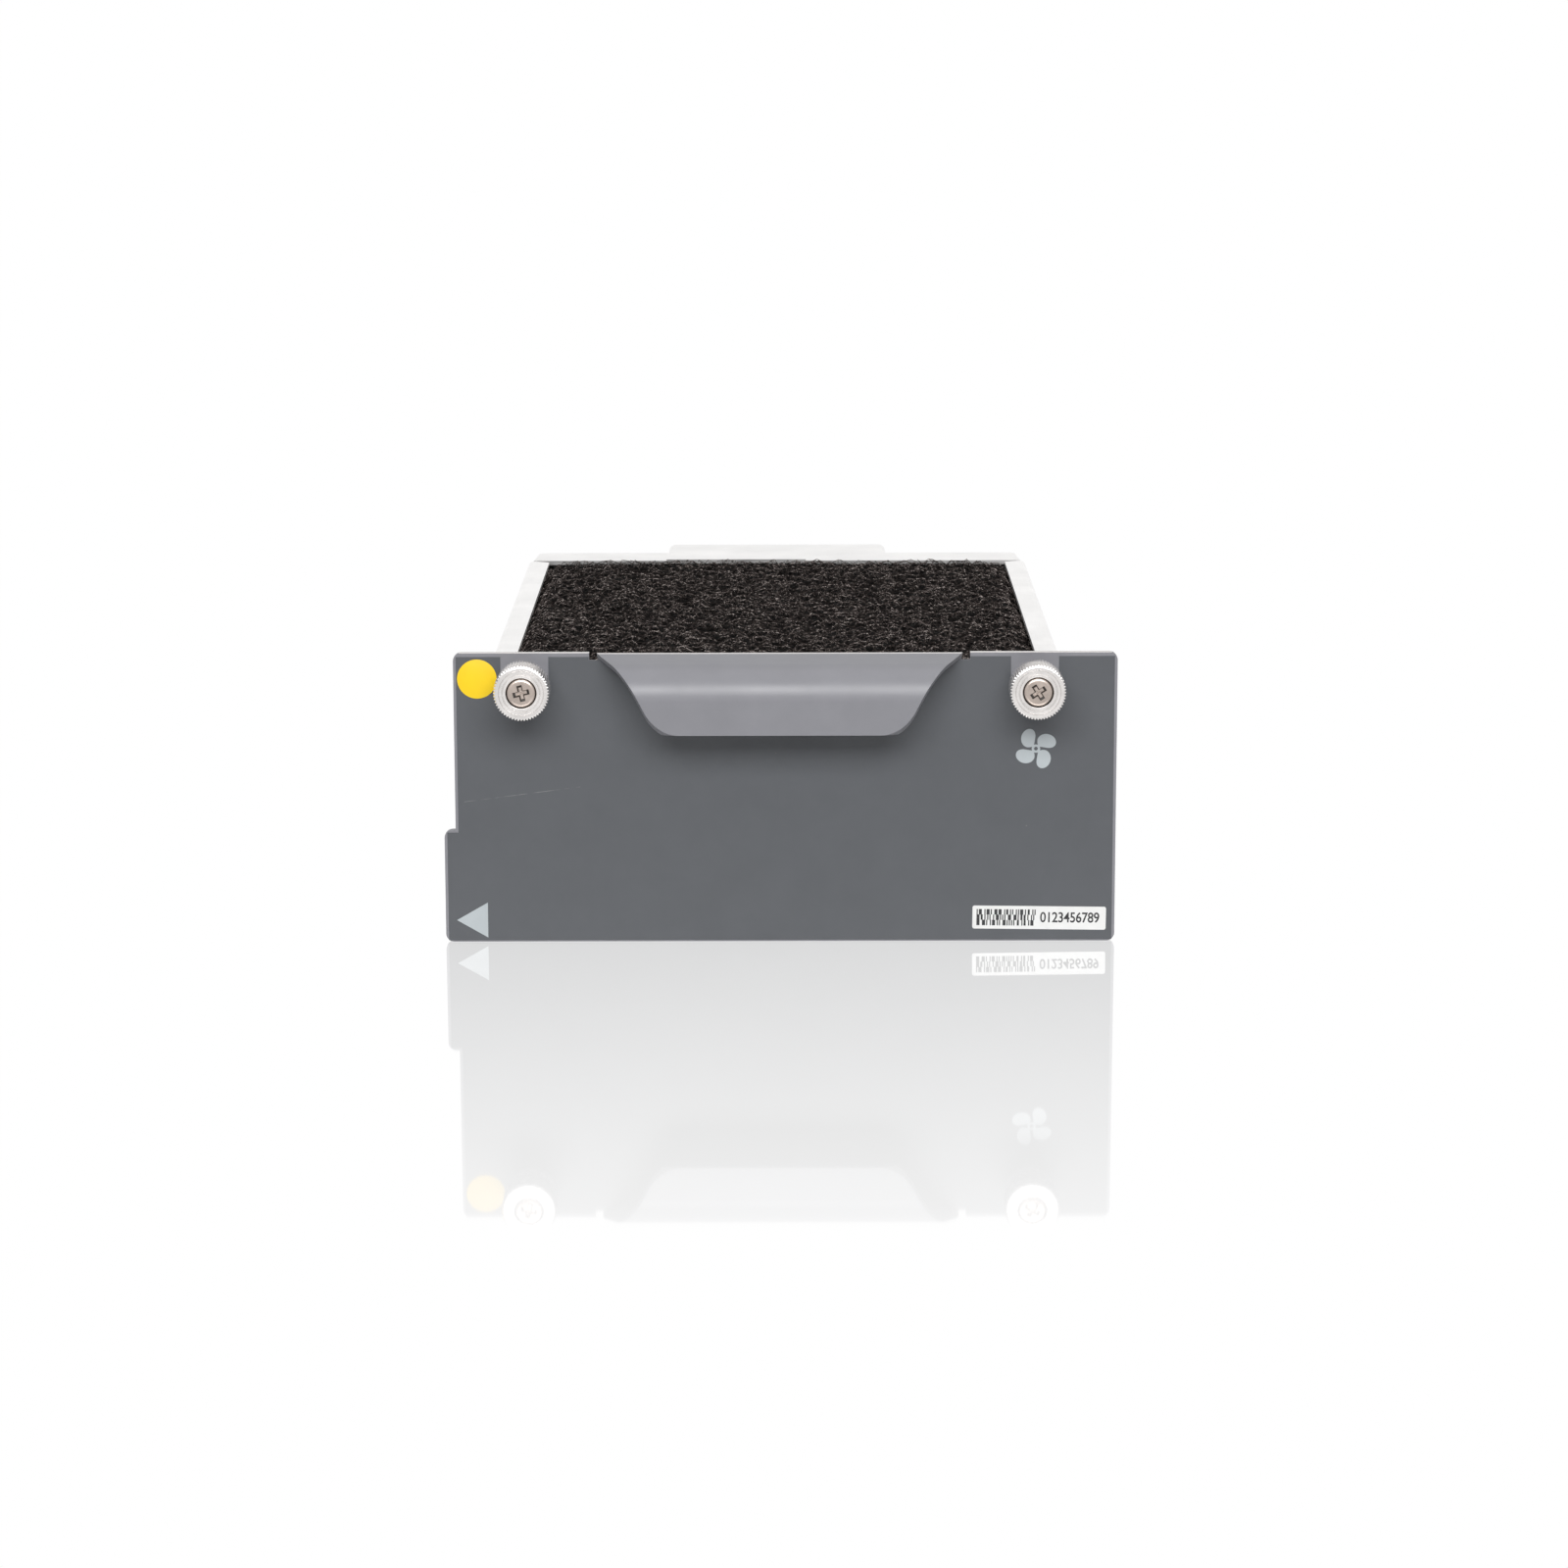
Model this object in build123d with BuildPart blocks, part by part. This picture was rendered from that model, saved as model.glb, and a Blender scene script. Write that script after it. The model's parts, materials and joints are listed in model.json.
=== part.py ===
"""Slide-in fan tray for a network switch.

A folded sheet tray carries two axial fans under a foam air filter. A coated faceplate with a
folded pull handle and two captive thumbscrews closes the front, and a small housing at the back
holds the control board and its plug-in connector. Millimetres, +Z up, the front faces -Y.
"""

import os
from math import cos, radians, sin, sqrt, tan

from build123d import *

os.makedirs("parts", exist_ok=True)

# Faceplate
plate_width = 161.8
plate_height = 70.9
plate_t = 1.5
plate_corner_r = 2.0
step_width = 2.7
step_height = 27.7

# Pull handle, folded forward out of the faceplate's top edge
handle_root_width = 88.2
handle_tip_width = 58.6
handle_reach = 14.0
handle_slope = 12.3
handle_bend_r = 7.9
lip_angle = 90.0
lip_length = 8.35
handle_root_r = 8.0
handle_tip_r = 10.0
root_inner_r = 0.4
notch_width = 1.5

# Captive thumbscrews
screw_inset = 19.8
screw_drop = 7.2
screw_travel = 5.2
knob_seat_gap = 0.8
knob_r = 6.35
knob_length = 9.2
knob_front_wall = 3.0
knob_cavity_r = 5.0
knob_lip_r = 5.6
knob_lip_length = 0.9
knob_groove_r = 5.3
knob_groove_width = 0.5
knob_groove_depth = 0.3
head_r = 3.5
head_length = 2.2
head_gap = 0.15
shank_r = 1.5
thread_r = 2.0
thread_length = 6.8
retainer_flange_r = 4.4
retainer_flange_t = 1.2
sleeve_r = 3.3
sleeve_length = 6.2
sleeve_lip = 1.0
running_gap = 0.08
spring_wire = 0.6
spring_turns = 5
spring_gap = 0.15
cross_width = 0.95
cross_span = 3.7
cross_depth = 1.5
left_cross_turn = 14
right_cross_turn = 33

# Tray pan
pan_width = 146.3
pan_offset = -0.95
pan_drop = 14.0
pan_height = 49.4
pan_t = 1.2
pan_fold_r = 2.0
pan_length = 258.5
wall_length = 242.5
flange_width = 6.3
flange_mitre = 3.0
front_wall_height = 37.0
front_wall_relief = 1.0

# Faceplate studs and nuts
stud_r = 1.5
stud_length = 5.2
stud_inset = 7.3
stud_low = 10.0
stud_high = 29.0
nut_r = 3.1
nut_t = 2.4
hole_gap = 0.15

# Foam filter, the grille under it and the rails that carry the grille
filter_t = 8.2
filter_crown = 2.2
filter_gap = 0.3
filter_length = 236.0
grille_t = 1.0
rail_leg = 8.0
rail_t = 1.0
rail_fold_r = 1.5
window_columns = 3
window_rows = 14
window_length = 40.0
window_depth = 13.0
window_bar = 3.0

# Fans
fan_size = 119.0
fan_depth = 32.0
fan_corner_r = 4.0
fan_bore_r = 58.0
fan_duct_r = 59.5
fan_flange_t = 4.0
fan_hole_pitch = 105.0
fan_hole_r = 2.15
fan_gap = 0.6
motor_base_r = 20.5
motor_base_t = 3.2
strut_width = 6.0
strut_count = 4
tube_r = 5.0
tube_height = 21.8
hub_r = 19.0
hub_wall = 2.0
hub_top_t = 2.0
hub_height = 25.0
hub_clearance = 2.8
boss_r = 3.2
boss_clearance = 0.6
tip_gap = 1.0
blade_count = 7
blade_t = 1.8
blade_height = 22.0
root_chord = 24.0
root_pitch = 52.0
tip_chord = 42.0
tip_pitch = 30.0
blade_camber = 0.09
shaft_r = 1.5
shaft_end_gap = 0.8
bearing_r = 4.0
bearing_length = 4.0
bearing_gap = 0.03
magnet_t = 2.2
magnet_length = 18.0
air_gap = 0.8
stator_length = 10.0
stator_lift = 6.2
pole_width = 4.0
pole_face_t = 1.8
coil_t = 2.2
driver_r = 15.5
driver_t = 1.2

# Finger guards and fan screws
guard_t = 1.0
guard_open_r = 56.0
guard_ring_width = 2.0
guard_ring_pitch = 18.0
guard_ring_count = 2
guard_spoke = 3.0
fan_screw_r = 2.0
fan_screw_head_r = 3.9
fan_screw_length = 12.0

# Rear housing and connector hood
housing_gap = 0.3
housing_inset = 1.6
housing_taper = 1.05
lift_notch_width = 41.0
lift_notch_depth = 2.5
lift_notch_x = -13.0
hood_width = 65.0
hood_height = 20.0
hood_reach = 17.0
hood_chamfer = 5.0

# Control board and its connector
board_width = 116.0
board_height = 38.0
board_t = 1.6
board_lift = 4.0
standoff_length = 5.2
standoff_r = 2.5
standoff_inset = 5.0
board_screw_r = 1.25
board_screw_head_r = 2.4
board_screw_head_t = 1.5
connector_width = 52.0
connector_height = 11.5
connector_length = 18.4
connector_drop = 12.0
connector_shell_t = 1.6
connector_pocket = 9.0
contact_count = 10
contact_pitch = 4.4
contact_width = 2.4
contact_t = 1.0
contact_length = 7.0
window_gap = 1.0
socket_width = 6.0
socket_depth = 6.0
socket_height = 6.0
plug_width = 4.0
plug_margin = 0.6
lead_r = 1.25
lead_low = 17.0
lead_rise = 8.0
clip_width = 6.0
clip_wall = 1.2
clip_count = 3

# Rivets
rivet_r = 1.6
rivet_head_r = 2.8
rivet_head_t = 0.7
rivet_inset = 12.0
side_rivet_pitch = 90.0

# Places along Y, with the origin midway between the front and the hood's back
knob_reach = screw_travel + knob_seat_gap + knob_length
front_reach = max(handle_reach, knob_reach)
total_length = front_reach + plate_t + pan_length + hood_reach
plate_front = front_reach - total_length / 2
plate_back = plate_front + plate_t
pan_back = plate_back + pan_length
wall_back = plate_back + wall_length
front_wall_back = plate_back + pan_t
fan_front = front_wall_back + fan_gap
front_fan_y = fan_front + fan_size / 2
rear_fan_y = front_fan_y + fan_size + fan_gap
housing_front = wall_back + housing_gap
housing_back = pan_back
hood_back = housing_back + hood_reach
board_back = housing_back - pan_t - standoff_length
board_front = board_back - board_t

# Places along Z
pan_top = plate_height - pan_drop
pan_bottom = pan_top - pan_height
floor_top = pan_bottom + pan_t
guard_top = floor_top + guard_t
fan_bottom = guard_top
fan_top = fan_bottom + fan_depth
filter_low = pan_top - pan_t - filter_gap - filter_t
grille_top = filter_low - filter_gap
rail_top = grille_top - grille_t
screw_z = plate_height - screw_drop
board_bottom = floor_top + pan_t + board_lift
connector_z = pan_top - connector_drop

# Places along X
wall_outer = pan_width / 2
wall_inner = wall_outer - pan_t
flange_inner = wall_outer - flange_width
screw_spacing = plate_width - 2 * screw_inset
lead_x = pan_offset - (fan_size / 2 + wall_inner) / 2
lead_bend_r = (pan_offset - fan_duct_r - lead_x) * 0.65


def across(y):
    """Upright plane across the tray at depth y. An extrusion from it runs to the front."""
    return Plane.XZ.offset(-y)


def level(z):
    """Level plane over the middle of the tray at height z."""
    return Plane(origin=(pan_offset, 0, z))


def screw_plane(x):
    """Plane through a thumbscrew's axis: first axis into the tray, second axis the radius."""
    return Plane(origin=(x, plate_front, screw_z), x_dir=(0, 1, 0), z_dir=(1, 0, 0))


def save(piece, name):
    """Label a finished piece and write it."""
    piece.label = name
    export_step(piece, f"parts/{name}.step")


# Pull handle: one folded section, trimmed to its tapered outline
root_r = root_inner_r + plate_t
root_fold = 90 + handle_slope
root_corner_z = plate_height - root_r + root_r * tan(radians(root_fold / 2))
front_fold = lip_angle - handle_slope
outward = radians((lip_angle + handle_slope) / 2 - 90)
corner_reach = handle_bend_r / cos(radians(front_fold / 2))
handle_corner_y = plate_front - (handle_reach - handle_bend_r + corner_reach * cos(outward))
handle_corner_z = root_corner_z - (plate_back - handle_corner_y) * tan(radians(handle_slope))
lip_run = lip_length + handle_bend_r * tan(radians(front_fold / 2))
lip_end_y = handle_corner_y - lip_run * cos(radians(lip_angle))
lip_end_z = handle_corner_z - lip_run * sin(radians(lip_angle))
notch_depth = root_r + 0.1
view_y = cos(radians((lip_angle + handle_slope) / 2))
view_z = sin(radians((lip_angle + handle_slope) / 2))
outline_drop = (plate_front - lip_end_y) * view_y + (plate_height - lip_end_z) * view_z

with BuildPart() as pull_handle:
    with BuildSketch(Plane.YZ.offset(-handle_root_width / 2)):
        with BuildLine():
            FilletPolyline(
                (plate_back, plate_height - notch_depth),
                (plate_back, root_corner_z),
                (handle_corner_y, handle_corner_z),
                (lip_end_y, lip_end_z),
                radius=(root_r, handle_bend_r),
            )
            offset(amount=plate_t, side=Side.LEFT)
        make_face()
    extrude(amount=handle_root_width)
    outline_plane = Plane(
        origin=(0, plate_front, plate_height),
        x_dir=(1, 0, 0),
        z_dir=(0, -view_z, view_y),
    )
    with BuildSketch(outline_plane) as outline:
        with BuildLine():
            Polyline(
                (-handle_root_width / 2, handle_reach),
                (-handle_root_width / 2, 0),
                (-handle_tip_width / 2, -outline_drop),
                (handle_tip_width / 2, -outline_drop),
                (handle_root_width / 2, 0),
                (handle_root_width / 2, handle_reach),
                close=True,
            )
        make_face()
        fillet(outline.vertices().group_by(Axis.Y)[0], handle_tip_r)
        fillet(outline.vertices().group_by(Axis.Y)[-2], handle_root_r)
    extrude(amount=2 * handle_reach, both=True, mode=Mode.INTERSECT)

# Faceplate with the step at its lower left edge, the handle's notches and the screw holes
with BuildPart() as faceplate:
    with BuildSketch(across(plate_back)) as plate_outline:
        with BuildLine():
            Polyline(
                (-plate_width / 2, 0),
                (plate_width / 2, 0),
                (plate_width / 2, plate_height),
                (-plate_width / 2 + step_width, plate_height),
                (-plate_width / 2 + step_width, step_height),
                (-plate_width / 2, step_height),
                close=True,
            )
        make_face()
        inner_corner = (-plate_width / 2 + step_width, step_height, 0)
        fillet(plate_outline.vertices().sort_by_distance(inner_corner)[1:], plate_corner_r)
        with Locations((0, plate_height)):
            Rectangle(
                handle_root_width + 2 * notch_width,
                2 * notch_depth,
                mode=Mode.SUBTRACT,
            )
        with Locations((0, screw_z)):
            with GridLocations(screw_spacing, 0, 2, 1):
                Circle(sleeve_r, mode=Mode.SUBTRACT)
    extrude(amount=plate_t)
    add(pull_handle.part)
save(faceplate.part, "faceplate")

# Captive thumbscrews: retainer in the plate, spring, knob and cross-head screw
knob_back = -screw_travel - knob_seat_gap
knob_front = -knob_reach
cavity_end = knob_front + knob_front_wall
head_back = knob_front + head_length
thread_front = sleeve_lip + running_gap - sleeve_length
spring_start = -retainer_flange_t - spring_gap - spring_wire / 2
spring_height = -cavity_end - retainer_flange_t - 2 * spring_gap - spring_wire
spring_mean_r = (knob_cavity_r + sleeve_r) / 2

screw_sides = (
    ("left", -screw_spacing / 2, left_cross_turn),
    ("right", screw_spacing / 2, right_cross_turn),
)
for side, screw_x, cross_turn in screw_sides:
    screw_axis = Axis((screw_x, plate_front, screw_z), (0, 1, 0))

    with BuildPart() as retainer:
        with BuildSketch(screw_plane(screw_x)):
            with BuildLine():
                Polyline(
                    (-sleeve_length, shank_r + running_gap),
                    (-sleeve_length, sleeve_r),
                    (-retainer_flange_t, sleeve_r),
                    (-retainer_flange_t, retainer_flange_r),
                    (0, retainer_flange_r),
                    (0, sleeve_r),
                    (plate_t, sleeve_r),
                    (plate_t, thread_r + running_gap),
                    (sleeve_lip - sleeve_length, thread_r + running_gap),
                    (sleeve_lip - sleeve_length, shank_r + running_gap),
                    close=True,
                )
            make_face()
        revolve(axis=screw_axis)
    save(retainer.part, f"{side}_screw_retainer")

    with BuildPart() as spring:
        with BuildLine():
            coil = Helix(
                pitch=spring_height / spring_turns,
                height=spring_height,
                radius=spring_mean_r,
                center=(screw_x, plate_front + spring_start, screw_z),
                direction=(0, -1, 0),
            )
        with BuildSketch(Plane(origin=coil @ 0, x_dir=(1, 0, 0), z_dir=coil % 0)):
            Rectangle(spring_wire, spring_wire)
        sweep(is_frenet=True)
    save(spring.part, f"{side}_screw_spring")

    with BuildPart() as knob:
        with BuildSketch(screw_plane(screw_x)):
            with BuildLine():
                groove_end = knob_front + knob_groove_depth
                Polyline(
                    (knob_front, head_r + head_gap),
                    (knob_front, knob_groove_r - knob_groove_width),
                    (groove_end, knob_groove_r - knob_groove_width),
                    (groove_end, knob_groove_r),
                    (knob_front, knob_groove_r),
                    (knob_front, knob_lip_r),
                    (knob_front + knob_lip_length, knob_r),
                    (knob_back, knob_r),
                    (knob_back, knob_cavity_r),
                    (cavity_end, knob_cavity_r),
                    (cavity_end, shank_r),
                    (head_back, shank_r),
                    (head_back, head_r + head_gap),
                    close=True,
                )
            make_face()
        revolve(axis=screw_axis)
    save(knob.part, f"{side}_thumb_knob")

    with BuildPart() as screw:
        with BuildSketch(screw_plane(screw_x)):
            with BuildLine():
                Polyline(
                    (knob_front, 0),
                    (knob_front, head_r - head_gap),
                    (knob_front + head_gap, head_r),
                    (head_back, head_r),
                    (head_back, shank_r),
                    (thread_front, shank_r),
                    (thread_front, thread_r),
                    (thread_front + thread_length - shank_r / 2, thread_r),
                    (thread_front + thread_length, thread_r - shank_r / 2),
                    (thread_front + thread_length, 0),
                    close=True,
                )
            make_face()
        revolve(axis=screw_axis)
        head_plane = Plane(
            origin=(screw_x, plate_front + knob_front, screw_z),
            x_dir=(1, 0, 0),
            z_dir=(0, 1, 0),
        )
        with BuildSketch(head_plane):
            Rectangle(cross_span, cross_width, rotation=-cross_turn)
            Rectangle(cross_width, cross_span, rotation=-cross_turn)
        extrude(amount=cross_depth, taper=12, mode=Mode.SUBTRACT)
    save(screw.part, f"{side}_captive_screw")

# Tray pan: floor, side walls and inward flanges in one folded section
fan_places = [(0, front_fan_y), (0, rear_fan_y)]
stud_x = wall_outer - stud_inset
stud_places = [
    (pan_offset + sign * stud_x, pan_bottom + rise)
    for sign in (-1, 1)
    for rise in (stud_low, stud_high)
]
housing_front_half = wall_outer - housing_inset
housing_back_half = housing_front_half - housing_taper
housing_rivet_x = housing_back_half - rivet_inset
rivet_row_y = (housing_front + board_front) / 2
side_rivet_y = (fan_front + wall_back) / 2
side_rivet_z = rail_top - rail_fold_r - rivet_head_r - hole_gap

with BuildPart() as tray_pan:
    with BuildSketch(across(pan_back)):
        with BuildLine():
            FilletPolyline(
                (pan_offset - flange_inner, pan_top),
                (pan_offset - wall_outer, pan_top),
                (pan_offset - wall_outer, pan_bottom),
                (pan_offset + wall_outer, pan_bottom),
                (pan_offset + wall_outer, pan_top),
                (pan_offset + flange_inner, pan_top),
                radius=pan_fold_r,
            )
            offset(amount=pan_t, side=Side.LEFT)
        make_face()
    extrude(amount=pan_length)
    with BuildSketch(level(floor_top)):
        with Locations((0, (wall_back + pan_back) / 2)):
            Rectangle(pan_width, pan_back - wall_back)
    extrude(amount=pan_height, mode=Mode.SUBTRACT)
    with BuildSketch(level(pan_top)):
        for sign in (-1, 1):
            with BuildLine():
                Polyline(
                    (sign * wall_inner, wall_back),
                    (sign * flange_inner, wall_back),
                    (sign * flange_inner, wall_back - flange_mitre),
                    close=True,
                )
            make_face()
    extrude(amount=-2 * pan_t, mode=Mode.SUBTRACT)
    with BuildSketch(level(pan_bottom)):
        for sign in (-1, 1):
            with BuildLine():
                Polyline(
                    (sign * (wall_outer + pan_t), wall_back),
                    (sign * housing_front_half, wall_back),
                    (sign * housing_back_half, pan_back),
                    (sign * (wall_outer + pan_t), pan_back),
                    close=True,
                )
            make_face()
    extrude(amount=pan_t, mode=Mode.SUBTRACT)
    with BuildSketch(across(front_wall_back)):
        with Locations((pan_offset, pan_bottom + front_wall_height / 2)):
            Rectangle(2 * (wall_inner - front_wall_relief), front_wall_height)
    extrude(amount=pan_t)
    with BuildSketch(across(front_wall_back)):
        with Locations(*stud_places):
            Circle(stud_r + hole_gap)
    extrude(amount=pan_t, mode=Mode.SUBTRACT)
    with BuildSketch(level(pan_bottom)):
        with Locations(*fan_places):
            Circle(guard_open_r)
    extrude(amount=pan_t, mode=Mode.SUBTRACT)
    cone_depth = fan_screw_head_r - fan_screw_r
    with BuildSketch(level(pan_bottom)):
        with Locations(*fan_places):
            with GridLocations(fan_hole_pitch, fan_hole_pitch, 2, 2):
                Circle(fan_screw_head_r)
    extrude(amount=cone_depth, taper=45, mode=Mode.SUBTRACT)
    with BuildSketch(level(pan_bottom)):
        with Locations((0, rivet_row_y)):
            with GridLocations(2 * housing_rivet_x, 0, 2, 1):
                Circle(rivet_r)
    extrude(amount=pan_t, mode=Mode.SUBTRACT)
    with BuildSketch(Plane.YZ.offset(pan_offset - wall_outer)):
        with Locations((side_rivet_y, side_rivet_z)):
            with GridLocations(side_rivet_pitch, 0, 3, 1):
                Circle(rivet_r)
    extrude(amount=pan_width, mode=Mode.SUBTRACT)
save(tray_pan.part, "tray_pan")

# Weld studs on the back of the faceplate, and the nuts that clamp the pan's front wall
with BuildPart() as studs:
    with BuildSketch(across(plate_back)):
        with Locations(*stud_places):
            Circle(stud_r)
    extrude(amount=-stud_length)
save(studs.part, "faceplate_studs")

with BuildPart() as nuts:
    with BuildSketch(across(front_wall_back)):
        with Locations(*stud_places):
            RegularPolygon(nut_r, 6)
            Circle(stud_r, mode=Mode.SUBTRACT)
    extrude(amount=-nut_t)
save(nuts.part, "faceplate_nuts")

# Two angle rails on the side walls, and the slotted grille that lies on them
grille_front = front_wall_back + fan_gap
grille_back = wall_back - flange_mitre
with BuildPart() as grille_rails:
    with BuildSketch(across(grille_back)):
        for sign in (-1, 1):
            wall_side = pan_offset + sign * wall_inner
            with BuildLine():
                FilletPolyline(
                    (wall_side, rail_top - rail_leg),
                    (wall_side, rail_top),
                    (wall_side - sign * rail_leg, rail_top),
                    radius=rail_fold_r,
                )
                offset(amount=rail_t, side=Side.LEFT if sign > 0 else Side.RIGHT)
            make_face()
    extrude(amount=grille_back - grille_front)
    with BuildSketch(Plane.YZ.offset(pan_offset - wall_outer)):
        with Locations((side_rivet_y, side_rivet_z)):
            with GridLocations(side_rivet_pitch, 0, 3, 1):
                Circle(rivet_r)
    extrude(amount=pan_width, mode=Mode.SUBTRACT)
save(grille_rails.part, "grille_rails")

with BuildPart() as filter_grille:
    with BuildSketch(level(rail_top)):
        with Locations((0, (grille_front + grille_back) / 2)):
            Rectangle(2 * (wall_inner - filter_gap), grille_back - grille_front)
            with GridLocations(
                window_length + window_bar,
                window_depth + window_bar,
                window_columns,
                window_rows,
            ):
                Rectangle(window_length, window_depth, mode=Mode.SUBTRACT)
    extrude(amount=grille_t)
save(filter_grille.part, "filter_grille")

# Foam filter: a pad tucked under the flanges that swells up between them
filter_half = wall_inner - filter_gap
filter_back = plate_back + pan_t + fan_gap + filter_length
crown_half = flange_inner - filter_gap
with BuildPart() as foam_filter:
    with BuildSketch(across(filter_back)):
        with BuildLine():
            filter_high = filter_low + filter_t
            Polyline(
                (pan_offset - crown_half, filter_high),
                (pan_offset - filter_half, filter_high),
                (pan_offset - filter_half, filter_low),
                (pan_offset + filter_half, filter_low),
                (pan_offset + filter_half, filter_high),
                (pan_offset + crown_half, filter_high),
            )
            ThreePointArc(
                (pan_offset + crown_half, filter_high),
                (pan_offset, filter_high + filter_crown),
                (pan_offset - crown_half, filter_high),
            )
        make_face()
    extrude(amount=filter_length)
save(foam_filter.part, "foam_filter")

# Rivets that hold the rails, flush outside, with their heads inside
grip = pan_t + rail_t
with BuildPart() as rail_rivets:
    for sign in (-1, 1):
        rivet_plane = Plane(
            origin=(pan_offset + sign * wall_outer, side_rivet_y, side_rivet_z),
            x_dir=(0, 1, 0),
            z_dir=(-sign, 0, 0),
        )
        with BuildSketch(rivet_plane):
            with GridLocations(side_rivet_pitch, 0, 3, 1):
                Circle(rivet_r)
        extrude(amount=grip)
        with BuildSketch(rivet_plane.offset(grip)):
            with GridLocations(side_rivet_pitch, 0, 3, 1):
                Circle(rivet_head_r)
        extrude(amount=rivet_head_t)
save(rail_rivets.part, "rail_rivets")

# Fan pieces, made once for each of the two fans
base_top = fan_bottom + motor_base_t
tube_top = base_top + tube_height
driver_top = base_top + driver_t
hub_bottom = base_top + hub_clearance
hub_top = hub_bottom + hub_height
hub_under = hub_top - hub_top_t
cup_r = hub_r - hub_wall
magnet_inner_r = cup_r - magnet_t
stator_r = magnet_inner_r - air_gap
stator_bottom = base_top + stator_lift
stator_top = stator_bottom + stator_length
blade_tip_r = fan_bore_r - tip_gap
blade_mid = hub_bottom + hub_height / 2


def blade_section(radius, chord, pitch, fan_y):
    """One blade section: a cambered crescent on the upright plane at this radius."""
    plane = Plane(
        origin=(pan_offset + radius, fan_y, blade_mid),
        x_dir=(0, cos(radians(pitch)), sin(radians(pitch))),
        z_dir=(1, 0, 0),
    )
    rise = blade_camber * chord
    with BuildSketch(plane) as section:
        with BuildLine():
            ThreePointArc((-chord / 2, 0), (0, rise + blade_t / 2), (chord / 2, 0))
            ThreePointArc((chord / 2, 0), (0, rise - blade_t / 2), (-chord / 2, 0))
        make_face()
    return section.sketch


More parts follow.
